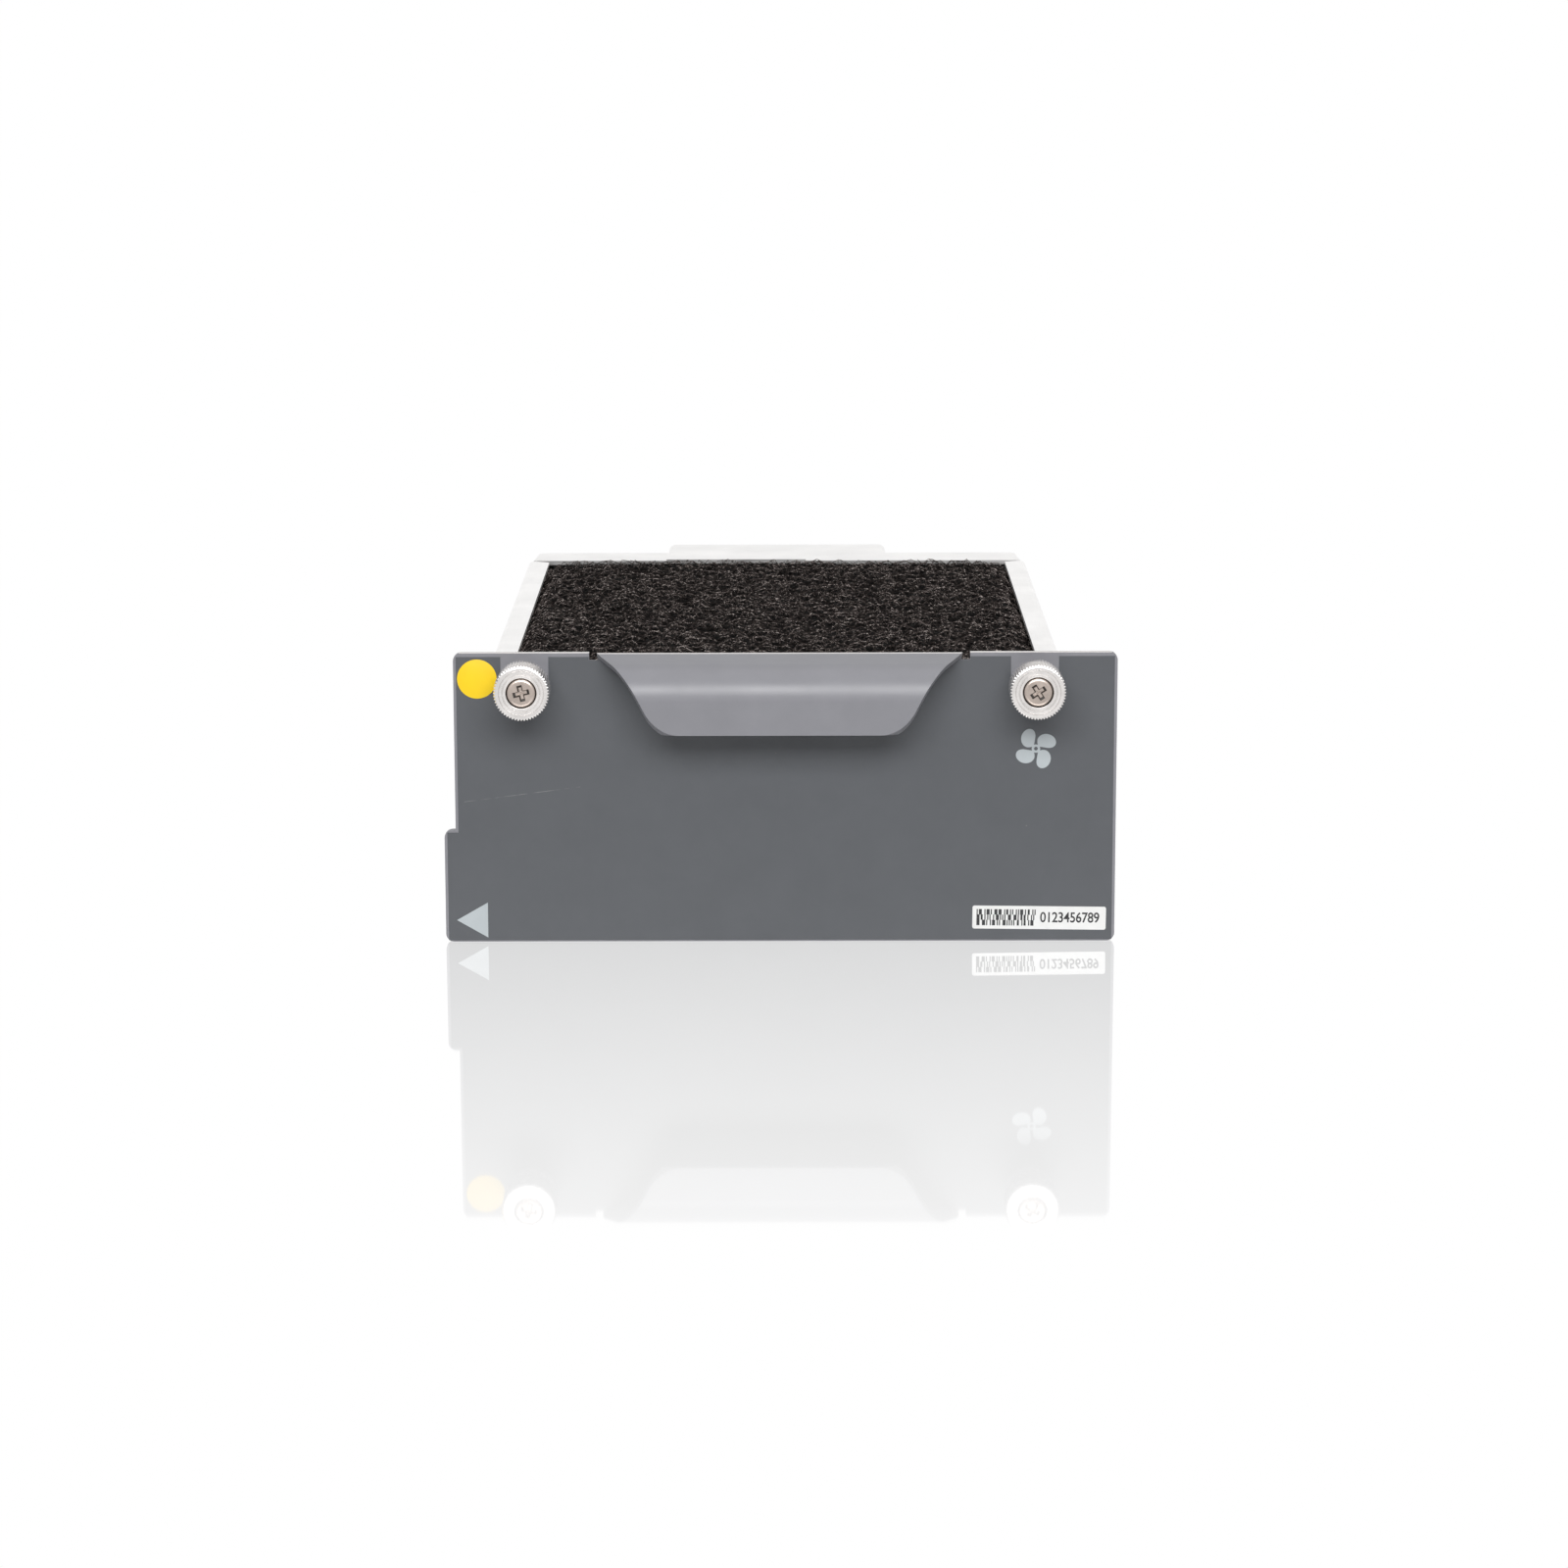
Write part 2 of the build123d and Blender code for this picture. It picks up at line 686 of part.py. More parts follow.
for name, fan_y in (("front", front_fan_y), ("rear", rear_fan_y)):
    fan_axis = Axis((pan_offset, fan_y, 0), (0, 0, 1))

    def fan_level(z):
        """Level plane centred on this fan's axis."""
        return Plane(origin=(pan_offset, fan_y, z))

    def turned_plane():
        """Upright plane through this fan's axis: first axis the radius, second axis up."""
        return Plane(origin=(pan_offset, fan_y, 0), x_dir=(1, 0, 0), z_dir=(0, -1, 0))

    with BuildPart() as fan_frame:
        with BuildSketch(fan_level(fan_bottom)):
            RectangleRounded(fan_size, fan_size, fan_corner_r)
        extrude(amount=fan_depth)
        with BuildSketch(fan_level(fan_bottom + fan_flange_t)):
            Rectangle(fan_size + fan_gap, fan_size + fan_gap)
            Circle(fan_duct_r, mode=Mode.SUBTRACT)
        extrude(amount=fan_depth - 2 * fan_flange_t, mode=Mode.SUBTRACT)
        with BuildSketch(fan_level(fan_bottom)):
            Circle(fan_bore_r)
        extrude(amount=fan_depth, mode=Mode.SUBTRACT)
        with BuildSketch(fan_level(fan_bottom)):
            with GridLocations(fan_hole_pitch, fan_hole_pitch, 2, 2):
                Circle(fan_hole_r)
        extrude(amount=fan_depth, mode=Mode.SUBTRACT)
        with BuildSketch(fan_level(fan_bottom)):
            Circle(motor_base_r)
            with PolarLocations(fan_bore_r / 2, strut_count, start_angle=45):
                Rectangle(fan_bore_r + 1, strut_width)
        extrude(amount=motor_base_t)
        with BuildSketch(fan_level(base_top)):
            Circle(tube_r)
            Circle(bearing_r, mode=Mode.SUBTRACT)
        extrude(amount=tube_height)
    save(fan_frame.part, f"{name}_fan_frame")

    with BuildPart() as blade:
        root = blade_section(cup_r / 2, root_chord, root_pitch, fan_y)
        tip = blade_section(fan_bore_r, tip_chord, tip_pitch, fan_y)
        loft(sections=[root, tip])
        with BuildSketch(fan_level(blade_mid - blade_height / 2)):
            Circle(blade_tip_r)
            Circle(cup_r + hub_wall / 2, mode=Mode.SUBTRACT)
        extrude(amount=blade_height, mode=Mode.INTERSECT)

    with BuildPart() as impeller:
        with BuildSketch(turned_plane()):
            with BuildLine():
                Polyline(
                    (shaft_r, hub_under),
                    (shaft_r, tube_top + boss_clearance),
                    (boss_r, tube_top + boss_clearance),
                    (boss_r, hub_under),
                    (cup_r, hub_under),
                    (cup_r, hub_bottom),
                    (hub_r, hub_bottom),
                    (hub_r, hub_top - hub_top_t),
                    (hub_r - hub_top_t, hub_top),
                    (0, hub_top),
                    (0, hub_under),
                    close=True,
                )
            make_face()
        revolve(axis=fan_axis)
        for turn in range(blade_count):
            add(blade.part.rotate(fan_axis, turn * 360 / blade_count))
    save(impeller.part, f"{name}_impeller")

    with BuildPart() as magnet:
        with BuildSketch(fan_level(hub_under - magnet_length)):
            Circle(cup_r)
            Circle(magnet_inner_r, mode=Mode.SUBTRACT)
        extrude(amount=magnet_length)
    save(magnet.part, f"{name}_rotor_magnet")

    with BuildPart() as shaft:
        with BuildSketch(fan_level(base_top + shaft_end_gap)):
            Circle(shaft_r)
        extrude(amount=hub_under - base_top - shaft_end_gap)
    save(shaft.part, f"{name}_fan_shaft")

    with BuildPart() as bearings:
        for seat in (base_top + 2 * shaft_end_gap, tube_top - bearing_length):
            with BuildSketch(fan_level(seat)):
                Circle(bearing_r)
                Circle(shaft_r + bearing_gap, mode=Mode.SUBTRACT)
            extrude(amount=bearing_length)
    save(bearings.part, f"{name}_fan_bearings")

    with BuildPart() as stator:
        with BuildSketch(fan_level(stator_bottom)):
            Circle(stator_r)
            Circle(stator_r - pole_face_t, mode=Mode.SUBTRACT)
            with PolarLocations(stator_r, 4, start_angle=45):
                Rectangle(2 * pole_width, pole_width, mode=Mode.SUBTRACT)
            Circle(tube_r + pole_face_t)
            with PolarLocations(stator_r / 2, 4):
                Rectangle(stator_r - pole_face_t, pole_width)
            Circle(tube_r, mode=Mode.SUBTRACT)
        extrude(amount=stator_length)
    save(stator.part, f"{name}_fan_stator")

    coil_half = pole_width / 2 + coil_t
    coil_start = tube_r + pole_face_t + hole_gap
    coil_end = sqrt((stator_r - pole_face_t) ** 2 - coil_half**2) - hole_gap
    coil_run = coil_end - coil_start
    coil_mid = (coil_start + coil_end) / 2
    with BuildPart() as coils:
        for turn in range(4):
            reach = Vector(coil_mid, 0, 0).rotate(Axis.Z, turn * 90)
            middle = Vector(pan_offset, fan_y, stator_bottom + stator_length / 2) + reach
            radial = Vector(1, 0, 0).rotate(Axis.Z, turn * 90)
            with BuildSketch(Plane(origin=middle, x_dir=(0, 0, 1), z_dir=radial)):
                Rectangle(stator_length + 2 * coil_t, 2 * coil_half)
                Rectangle(stator_length, pole_width, mode=Mode.SUBTRACT)
            extrude(amount=coil_run / 2, both=True)
    save(coils.part, f"{name}_fan_coils")

    with BuildPart() as driver:
        with BuildSketch(fan_level(base_top)):
            Circle(driver_r)
            Circle(tube_r, mode=Mode.SUBTRACT)
        extrude(amount=driver_t)
    save(driver.part, f"{name}_driver_board")

    with BuildPart() as guard:
        with BuildSketch(fan_level(floor_top)):
            RectangleRounded(fan_size, fan_size, fan_corner_r)
            Circle(guard_open_r, mode=Mode.SUBTRACT)
            for ring in range(guard_ring_count):
                ring_r = guard_open_r - (ring + 1) * guard_ring_pitch
                Circle(ring_r)
                Circle(ring_r - guard_ring_width, mode=Mode.SUBTRACT)
            with PolarLocations(guard_open_r / 2, 4):
                Rectangle(guard_open_r + 1, guard_spoke)
            with GridLocations(fan_hole_pitch, fan_hole_pitch, 2, 2):
                Circle(fan_hole_r, mode=Mode.SUBTRACT)
        extrude(amount=guard_t)
        with BuildSketch(fan_level(pan_bottom)):
            with GridLocations(fan_hole_pitch, fan_hole_pitch, 2, 2):
                Circle(fan_screw_head_r)
        extrude(amount=cone_depth, taper=45, mode=Mode.SUBTRACT)
    save(guard.part, f"{name}_finger_guard")

    with BuildPart() as fan_screws:
        with BuildSketch(fan_level(pan_bottom)):
            with GridLocations(fan_hole_pitch, fan_hole_pitch, 2, 2):
                Circle(fan_screw_head_r)
        extrude(amount=cone_depth, taper=45)
        with BuildSketch(fan_level(pan_bottom)):
            with GridLocations(fan_hole_pitch, fan_hole_pitch, 2, 2):
                Circle(fan_screw_r)
        extrude(amount=fan_screw_length)
    save(fan_screws.part, f"{name}_fan_screws")

# Rear housing: a shallow box open to the tray, with a hood over the connector
window_width = connector_width + 2 * window_gap
window_height = connector_height + 2 * window_gap
with BuildPart() as rear_housing:
    with BuildSketch(level(floor_top)):
        with BuildLine():
            Polyline(
                (-housing_front_half, housing_front),
                (housing_front_half, housing_front),
                (housing_back_half, housing_back),
                (-housing_back_half, housing_back),
                close=True,
            )
        make_face()
    extrude(amount=pan_top - floor_top)
    fillet(rear_housing.edges().group_by(Axis.Y)[-1].filter_by(Axis.Z), pan_fold_r)
    mouth = rear_housing.faces().sort_by(Axis.Y)[0]
    offset(amount=-pan_t, openings=mouth)
    with BuildSketch(across(hood_back)):
        with BuildLine():
            FilletPolyline(
                (pan_offset - hood_width / 2, pan_top - hood_height),
                (pan_offset - hood_width / 2, pan_top),
                (pan_offset + hood_width / 2, pan_top),
                (pan_offset + hood_width / 2, pan_top - hood_height),
                radius=pan_fold_r,
            )
            offset(amount=pan_t, side=Side.RIGHT)
        make_face()
    extrude(amount=hood_reach)
    with BuildSketch(Plane.YZ.offset(pan_offset - hood_width)):
        with BuildLine():
            Polyline(
                (hood_back, pan_top - hood_height),
                (hood_back, pan_top - hood_chamfer),
                (housing_back + hood_chamfer, pan_top - hood_height),
                close=True,
            )
        make_face()
    extrude(amount=2 * hood_width, mode=Mode.SUBTRACT)
    with BuildSketch(across(housing_back)):
        with Locations((pan_offset, connector_z)):
            Rectangle(window_width, window_height)
    extrude(amount=pan_t, mode=Mode.SUBTRACT)
    with BuildSketch(Plane.XY.offset(pan_top)):
        with Locations((lift_notch_x, housing_front)):
            Rectangle(lift_notch_width, 2 * lift_notch_depth)
    extrude(amount=-pan_t, mode=Mode.SUBTRACT)
    with BuildSketch(level(floor_top)):
        with Locations((0, rivet_row_y)):
            with GridLocations(2 * housing_rivet_x, 0, 2, 1):
                Circle(rivet_r)
    extrude(amount=pan_t, mode=Mode.SUBTRACT)
save(rear_housing.part, "rear_housing")

# Rivets through the pan's floor and the housing's floor, flush underneath
with BuildPart() as housing_rivets:
    with BuildSketch(level(pan_bottom)):
        with Locations((0, rivet_row_y)):
            with GridLocations(2 * housing_rivet_x, 0, 2, 1):
                Circle(rivet_r)
    extrude(amount=2 * pan_t)
    with BuildSketch(level(floor_top + pan_t)):
        with Locations((0, rivet_row_y)):
            with GridLocations(2 * housing_rivet_x, 0, 2, 1):
                Circle(rivet_head_r)
    extrude(amount=rivet_head_t)
save(housing_rivets.part, "housing_rivets")

# Control board on standoffs against the back wall of the housing
board_z = board_bottom + board_height / 2
hole_span_x = board_width - 2 * standoff_inset
hole_span_z = board_height - 2 * standoff_inset
with BuildPart() as control_board:
    with BuildSketch(across(board_back)):
        with Locations((pan_offset, board_z)):
            Rectangle(board_width, board_height)
            with GridLocations(hole_span_x, hole_span_z, 2, 2):
                Circle(board_screw_r + hole_gap, mode=Mode.SUBTRACT)
    extrude(amount=board_t)
save(control_board.part, "control_board")

with BuildPart() as standoffs:
    with BuildSketch(across(board_back)):
        with Locations((pan_offset, board_z)):
            with GridLocations(hole_span_x, hole_span_z, 2, 2):
                RegularPolygon(standoff_r, 6)
                Circle(board_screw_r, mode=Mode.SUBTRACT)
    extrude(amount=-standoff_length)
save(standoffs.part, "board_standoffs")

with BuildPart() as board_screws:
    with BuildSketch(across(board_front)):
        with Locations((pan_offset, board_z)):
            with GridLocations(hole_span_x, hole_span_z, 2, 2):
                Circle(board_screw_head_r)
    extrude(amount=board_screw_head_t)
    with BuildSketch(across(board_front)):
        with Locations((pan_offset, board_z)):
            with GridLocations(hole_span_x, hole_span_z, 2, 2):
                Circle(board_screw_r)
    extrude(amount=-(board_t + standoff_length / 2))
save(board_screws.part, "board_screws")

# Plug-in connector on the board, with its blades inside an open shell
connector_back = board_back + connector_length
pocket_floor = connector_back - connector_pocket
with BuildPart() as connector:
    with BuildSketch(across(connector_back)):
        with Locations((pan_offset, connector_z)):
            Rectangle(connector_width, connector_height)
    extrude(amount=connector_length)
    chamfer(connector.faces().sort_by(Axis.Y)[-1].edges(), connector_shell_t / 2)
    with BuildSketch(across(connector_back)):
        with Locations((pan_offset, connector_z)):
            Rectangle(
                connector_width - 2 * connector_shell_t,
                connector_height - 2 * connector_shell_t,
            )
    extrude(amount=connector_pocket, mode=Mode.SUBTRACT)
save(connector.part, "backplane_connector")

with BuildPart() as contacts:
    with BuildSketch(across(pocket_floor)):
        with Locations((pan_offset, connector_z)):
            with GridLocations(contact_pitch, 0, contact_count, 1):
                Rectangle(contact_width, contact_t)
    extrude(amount=-contact_length)
save(contacts.part, "connector_contacts")

# Fan sockets on the board, the plugs in them and the leads along the left wall
socket_right = pan_offset - board_width / 2 + plug_width + socket_width
socket_left = socket_right - socket_width
socket_mid_y = board_front - socket_depth / 2
lead_heights = {"front": fan_bottom + lead_low, "rear": fan_bottom + lead_low + lead_rise}

with BuildPart() as sockets:
    for lead_z in lead_heights.values():
        with BuildSketch(across(board_front)):
            with Locations(((socket_left + socket_right) / 2, lead_z)):
                Rectangle(socket_width, socket_height)
        extrude(amount=socket_depth)
save(sockets.part, "fan_sockets")

for name, fan_y in (("front", front_fan_y), ("rear", rear_fan_y)):
    lead_z = lead_heights[name]
    socket_side = Plane(origin=(socket_left, socket_mid_y, lead_z), z_dir=(-1, 0, 0))
    with BuildPart() as plug:
        with BuildSketch(socket_side):
            Rectangle(socket_height - 2 * plug_margin, socket_depth - 2 * plug_margin)
        extrude(amount=plug_width)
    save(plug.part, f"{name}_fan_plug")

    duct_side = pan_offset - fan_duct_r
    with BuildPart() as lead:
        with BuildLine():
            FilletPolyline(
                (duct_side, fan_y, lead_z),
                (lead_x, fan_y, lead_z),
                (lead_x, socket_mid_y, lead_z),
                (socket_left - plug_width, socket_mid_y, lead_z),
                radius=lead_bend_r,
            )
        with BuildSketch(Plane(origin=(duct_side, fan_y, lead_z), z_dir=(-1, 0, 0))):
            Circle(lead_r)
        sweep()
    save(lead.part, f"{name}_fan_lead")

# Clips on the left wall that hold both leads beside the rear fan
clip_left = pan_offset - wall_inner
clip_right = lead_x + lead_r + clip_wall
clip_low = min(lead_heights.values()) - lead_r - clip_wall
clip_high = max(lead_heights.values()) + lead_r + clip_wall
clip_first = rear_fan_y + 2 * lead_bend_r + clip_width / 2
clip_last = wall_back - clip_width
with BuildPart() as clips:
    for place in range(clip_count):
        clip_y = clip_first + place * (clip_last - clip_first) / (clip_count - 1)
        with BuildSketch(across(clip_y + clip_width / 2)):
            with Locations(((clip_left + clip_right) / 2, (clip_low + clip_high) / 2)):
                Rectangle(clip_right - clip_left, clip_high - clip_low)
            for lead_z in lead_heights.values():
                with Locations((lead_x, lead_z)):
                    Circle(lead_r, mode=Mode.SUBTRACT)
        extrude(amount=clip_width)
save(clips.part, "lead_clips")
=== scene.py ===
"""Finishes, printed marks, foam and stage for a slide-in switch fan tray.

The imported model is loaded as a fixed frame. Its sheet metal, fans and boards get their finishes,
the foam, knobs, springs and stuck-on marks are modelled here, and a pale floor with soft light
and a camera completes the picture. Metres, +Z up, the front faces -Y.
"""

import json
import random
from math import pi, radians

import bmesh
import bpy
from mathutils import Matrix, Vector, noise


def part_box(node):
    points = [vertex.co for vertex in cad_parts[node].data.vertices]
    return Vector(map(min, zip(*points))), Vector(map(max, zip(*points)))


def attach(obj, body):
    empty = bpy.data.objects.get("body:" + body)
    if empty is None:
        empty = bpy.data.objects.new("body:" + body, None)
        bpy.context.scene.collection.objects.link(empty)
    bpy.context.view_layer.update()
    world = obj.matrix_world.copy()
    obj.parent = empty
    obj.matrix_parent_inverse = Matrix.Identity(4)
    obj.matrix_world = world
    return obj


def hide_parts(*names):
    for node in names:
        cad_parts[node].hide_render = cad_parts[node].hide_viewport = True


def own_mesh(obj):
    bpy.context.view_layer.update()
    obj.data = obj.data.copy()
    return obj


bl_info = {
    "name": "Switch Fan Tray",
    "version": (1, 0, 0),
    "blender": (4, 5, 0),
    "location": "View3D > Sidebar > Fan Tray",
    "description": "Finishes, marks, foam and stage for a slide-in switch fan tray",
    "category": "Object",
}

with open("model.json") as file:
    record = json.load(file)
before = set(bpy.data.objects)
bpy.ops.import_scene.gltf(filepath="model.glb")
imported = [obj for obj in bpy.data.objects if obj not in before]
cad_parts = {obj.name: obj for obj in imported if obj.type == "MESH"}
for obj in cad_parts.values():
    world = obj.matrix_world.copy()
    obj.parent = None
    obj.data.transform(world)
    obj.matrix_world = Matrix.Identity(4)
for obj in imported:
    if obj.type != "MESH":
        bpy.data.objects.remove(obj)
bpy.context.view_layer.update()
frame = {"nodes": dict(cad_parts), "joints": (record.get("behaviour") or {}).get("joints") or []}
nodes = frame["nodes"]

MM = 0.001
PLATE_LOW, PLATE_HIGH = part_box("faceplate")
PLATE_T = 1.5 * MM
PLATE_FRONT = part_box("right_screw_retainer")[1].y - PLATE_T
# The step in the plate's left edge, and the relief notches beside the handle.
STEP_X, STEP_Z = 2.7 * MM, 27.7 * MM
NOTCH_X, NOTCH_DEPTH = 45.7 * MM, 1.8 * MM
# The height of the pale painted highlight along the plate's top edge.
HIGHLIGHT_BAND = 0.12 * MM

KNOB_LOW, KNOB_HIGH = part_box("right_thumb_knob")
SCREW_X = (KNOB_LOW.x + KNOB_HIGH.x) / 2
SCREW_Z = (KNOB_LOW.z + KNOB_HIGH.z) / 2
KNOB_R = (KNOB_HIGH.z - KNOB_LOW.z) / 2
HEAD_R = 3.5 * MM
SIDES = {"left": -1, "right": 1}
# How far each screw's cross is turned, in degrees.
CROSS_TURN = {"left": 14, "right": 33}

# The pad runs back to the rear housing, its flat crown lies between the tray's flanges.
FOAM_LOW, FOAM_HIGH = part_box("foam_filter")
FOAM_HIGH.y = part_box("rear_housing")[0].y - 0.4 * MM
FOAM_CROWN = 2.2 * MM
FLANGE_COVER = 5.1 * MM
FOAM_MIDDLE = (FOAM_LOW.x + FOAM_HIGH.x) / 2
FOAM_OPEN = (FOAM_HIGH.x - FOAM_LOW.x) / 2 - FLANGE_COVER

FANS = ("front", "rear")

# The camera's lens, place, dip in degrees and roll, and how far the floor tips to meet the tray.
LENS = 100.98
CAMERA_PLACE = (0.98 * MM, PLATE_FRONT - 1037.5 * MM, 246.8 * MM)
CAMERA_DIP = 11.336
CAMERA_ROLL = -0.0019
FLOOR_LEAN = 1.653

WHITE = (1, 1, 1, 1)
DUST = (0.55, 0.54, 0.52)
# A pale painted highlight for the plate's top edge.
EDGE_HIGHLIGHT = (0.80, 0.77, 0.75)
# Near-black painted shade for the knob's hole, the gap round the screw's head and the screw's
# cross.
RECESS_SHADE = (0.012, 0.010, 0.009)


# Shader graphs


class Wire:
    """A shader socket that sums, multiplies and compares like a number."""

    def __init__(self, finish, socket):
        self.finish = finish
        self.socket = socket

    def do(self, operation, *others):
        """One step of shader maths on this value."""
        return self.finish.maths(operation, self, *others)

    def __add__(self, other):
        return self.do("ADD", other)

    def __radd__(self, other):
        return self.do("ADD", other)

    def __sub__(self, other):
        return self.do("SUBTRACT", other)

    def __rsub__(self, other):
        return self.finish.maths("SUBTRACT", other, self)

    def __mul__(self, other):
        return self.do("MULTIPLY", other)

    def __rmul__(self, other):
        return self.do("MULTIPLY", other)

    def __pow__(self, other):
        return self.do("POWER", other)

    def __gt__(self, other):
        return self.do("GREATER_THAN", other)

    def __lt__(self, other):
        return self.do("LESS_THAN", other)

    def size(self):
        """The value without its sign."""
        return self.do("ABSOLUTE")

    def held(self):
        """The value kept between nought and one."""
        return self.finish.node("ShaderNodeClamp", {}, {"Value": self})


class Finish:
    """The nodes of a material, or of another owner that is given, such as the world."""

    def __init__(self, name, owner=None):
        self.owner = owner or bpy.data.materials.new(name)
        self.owner.use_nodes = True
        self.tree = self.owner.node_tree
        self.tree.nodes.clear()

    def node(self, kind, settings=None, inputs=None, out=0):
        """Add a node: its settings first, then the values or links of its sockets."""
        made = self.tree.nodes.new(kind)
        for key, value in (settings or {}).items():
            setattr(made, key, value)
        for key, value in (inputs or {}).items():
            if isinstance(value, Wire):
                self.tree.links.new(value.socket, made.inputs[key])
            else:
                made.inputs[key].default_value = value
        return Wire(self, made.outputs[out]) if made.outputs else None

    def maths(self, operation, *values):
        """A Math node on values or wires."""
        inputs = dict(enumerate(values))
        return self.node("ShaderNodeMath", {"operation": operation}, inputs)

    def place(self):
        """Object coordinates, in metres."""
        return self.node("ShaderNodeTexCoord", out="Object")

    def stretched(self, place, scale, turn):
        """Coordinates turned and scaled, for streaks."""
        inputs = {"Vector": place, "Rotation": turn, "Scale": scale}
        return self.node("ShaderNodeMapping", {"vector_type": "TEXTURE"}, inputs)

    def axes(self, place):
        """The three coordinates as separate values."""
        split = self.node("ShaderNodeSeparateXYZ", inputs={"Vector": place})
        outputs = split.socket.node.outputs
        return [Wire(self, outputs[i]) for i in range(3)]

    def clouds(self, place, grain, detail=2.0, rough=0.5):
        """Soft noise whose patches are about this large, in metres."""
        inputs = {"Vector": place, "Scale": 1 / grain, "Detail": detail, "Roughness": rough}
        return self.node("ShaderNodeTexNoise", {}, inputs)

    def cells(self, place, grain):
        """Distance from the middles of cells that are about this large."""
        inputs = {"Vector": place, "Scale": 1 / grain}
        return self.node("ShaderNodeTexVoronoi", {}, inputs)

    def stripes(self, value, pitch):
        """A wave that repeats at this pitch."""
        return (value * (2 * pi / pitch)).do("SINE")

    def blend(self, mask, low, high):
        """Mix two colours by a mask."""
        inputs = {0: mask}
        for socket, tone in ((6, low), (7, high)):
            inputs[socket] = tone if isinstance(tone, Wire) else (*tone[:3], 1)
        return self.node("ShaderNodeMix", {"data_type": "RGBA"}, inputs, out=2)

    def span(self, value, low, high, start=0.0, end=1.0):
        """Carry a value from one range to another, held at its ends."""
        inputs = {0: value, 1: low, 2: high, 3: start, 4: end}
        return self.node("ShaderNodeMapRange", {}, inputs)

    def spread(self, cloud, start=0.0, end=1.0):
        """Carry soft noise, most of which lies near its middle, over a whole range."""
        return self.span(cloud, 0.3, 0.7, start, end)

    def seen(self):
        """One where the camera looks, straight on, in a mirror or through glass."""
        ray = self.node("ShaderNodeLightPath", out="Is Camera Ray")
        outputs = ray.socket.node.outputs
        mirrored, through = outputs["Is Glossy Ray"], outputs["Is Transmission Ray"]
        return (ray + Wire(self, mirrored) + Wire(self, through)).held()

    def bump(self, height, depth, strength):
        """A surface normal from a height, with its depth in metres."""
        inputs = {"Height": height, "Distance": depth, "Strength": strength}
        return self.node("ShaderNodeBump", {}, inputs)

    def surface(self, **sockets):
        """Close the material with its shader and return it."""
        inputs = {key.replace("_", " "): value for key, value in sockets.items()}
        shader = self.node("ShaderNodeBsdfPrincipled", {}, inputs)
        self.node("ShaderNodeOutputMaterial", {}, {"Surface": shader})
        return self.owner


def shaded(tone, share):
    """A colour made darker or paler by a share."""
    return [min(c * share, 1) for c in tone]


# Modelling helpers


def alone(piece):
    """Select one object and make it active."""
    bpy.ops.object.select_all(action="DESELECT")
    piece.select_set(True)
    bpy.context.view_layer.objects.active = piece


def fresh():
    """Deselect everything before a new primitive."""
    bpy.ops.object.select_all(action="DESELECT")


def settled(name, scale=(1, 1, 1)):
    """Name the active object, give it its size and settle its place into its mesh."""
    piece = bpy.context.active_object
    piece.name = name
    piece.data.name = name
    piece.scale = scale
    alone(piece)
    bpy.ops.object.transform_apply(location=True, rotation=True, scale=True)
    return piece


def block(name, low, high, thickness=0.0):
    """A thin upright block on the faceplate's front, or a cutter through it."""
    deep = thickness or 4 * MM
    front = PLATE_FRONT - (thickness or deep / 2)
    middle = ((low[0] + high[0]) / 2, front + deep / 2, (low[1] + high[1]) / 2)
    fresh()
    bpy.ops.mesh.primitive_cube_add(size=1, location=middle)
    return settled(name, (high[0] - low[0], deep, high[1] - low[1]))


def pick(piece, part, test):
    """In edit mode, select only the vertices, edges or faces that pass the test."""
    mesh = bmesh.from_edit_mesh(piece.data)
    for group in (mesh.verts, mesh.edges, mesh.faces):
        for item in group:
            item.select = False
    for item in [item for item in getattr(mesh, part) if test(item)]:
        item.select_set(True)
    mesh.select_flush_mode()
    bmesh.update_edit_mesh(piece.data)


def finished(piece, kind, **settings):
    """Add a modifier, set it and apply it."""
    alone(piece)
    modifier = piece.modifiers.new(kind.title(), kind)
    for key, value in settings.items():
        setattr(modifier, key, value)
    bpy.ops.object.modifier_apply(modifier=modifier.name)


def cut_by(piece, cutter):
    """Take one piece out of another and delete the cutter."""
    finished(piece, "BOOLEAN", object=cutter, operation="DIFFERENCE", solver="EXACT")
    bpy.data.objects.remove(cutter)


def joined(pieces):
    """Join pieces into the first of them."""
    fresh()
    for piece in pieces:
        piece.select_set(True)
    bpy.context.view_layer.objects.active = pieces[0]
    bpy.ops.object.join()
    return pieces[0]


def capped(piece):
    """Close the open rims of a tube or a turned piece, and turn its faces outwards."""
    alone(piece)
    bpy.ops.object.mode_set(mode="EDIT")
    bpy.ops.mesh.select_mode(type="EDGE")
    pick(piece, "edges", lambda e: e.is_boundary)
    bpy.ops.mesh.edge_face_add()
    bpy.ops.object.mode_set(mode="OBJECT")
    outward(piece)


def stood(piece, x, y, z, turn=0.0):
    """Stand a flat drawing up at a place on the faceplate, turned about Y."""
    upright = Matrix.Translation((x, y, z)) @ Matrix.Rotation(turn, 4, "Y")
    piece.data.transform(upright @ Matrix.Rotation(pi / 2, 4, "X"))


def smooth(piece, angle=30):
    """Shade smooth, with edges sharper than the angle kept."""
    alone(piece)
    bpy.ops.object.shade_smooth_by_angle(angle=radians(angle))


def outward(piece):
    """Turn every face outwards."""
    alone(piece)
    bpy.ops.object.mode_set(mode="EDIT")
    bpy.ops.mesh.select_all(action="SELECT")
    bpy.ops.mesh.normals_make_consistent(inside=False)
    bpy.ops.object.mode_set(mode="OBJECT")


def dress(piece, material, body, slot, *replaced):
    """Give a new piece its finish, its body and the nodes that it stands for."""
    piece.data.materials.clear()
    piece.data.materials.append(material)
    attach(piece, body)
    if replaced:
        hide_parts(*replaced)


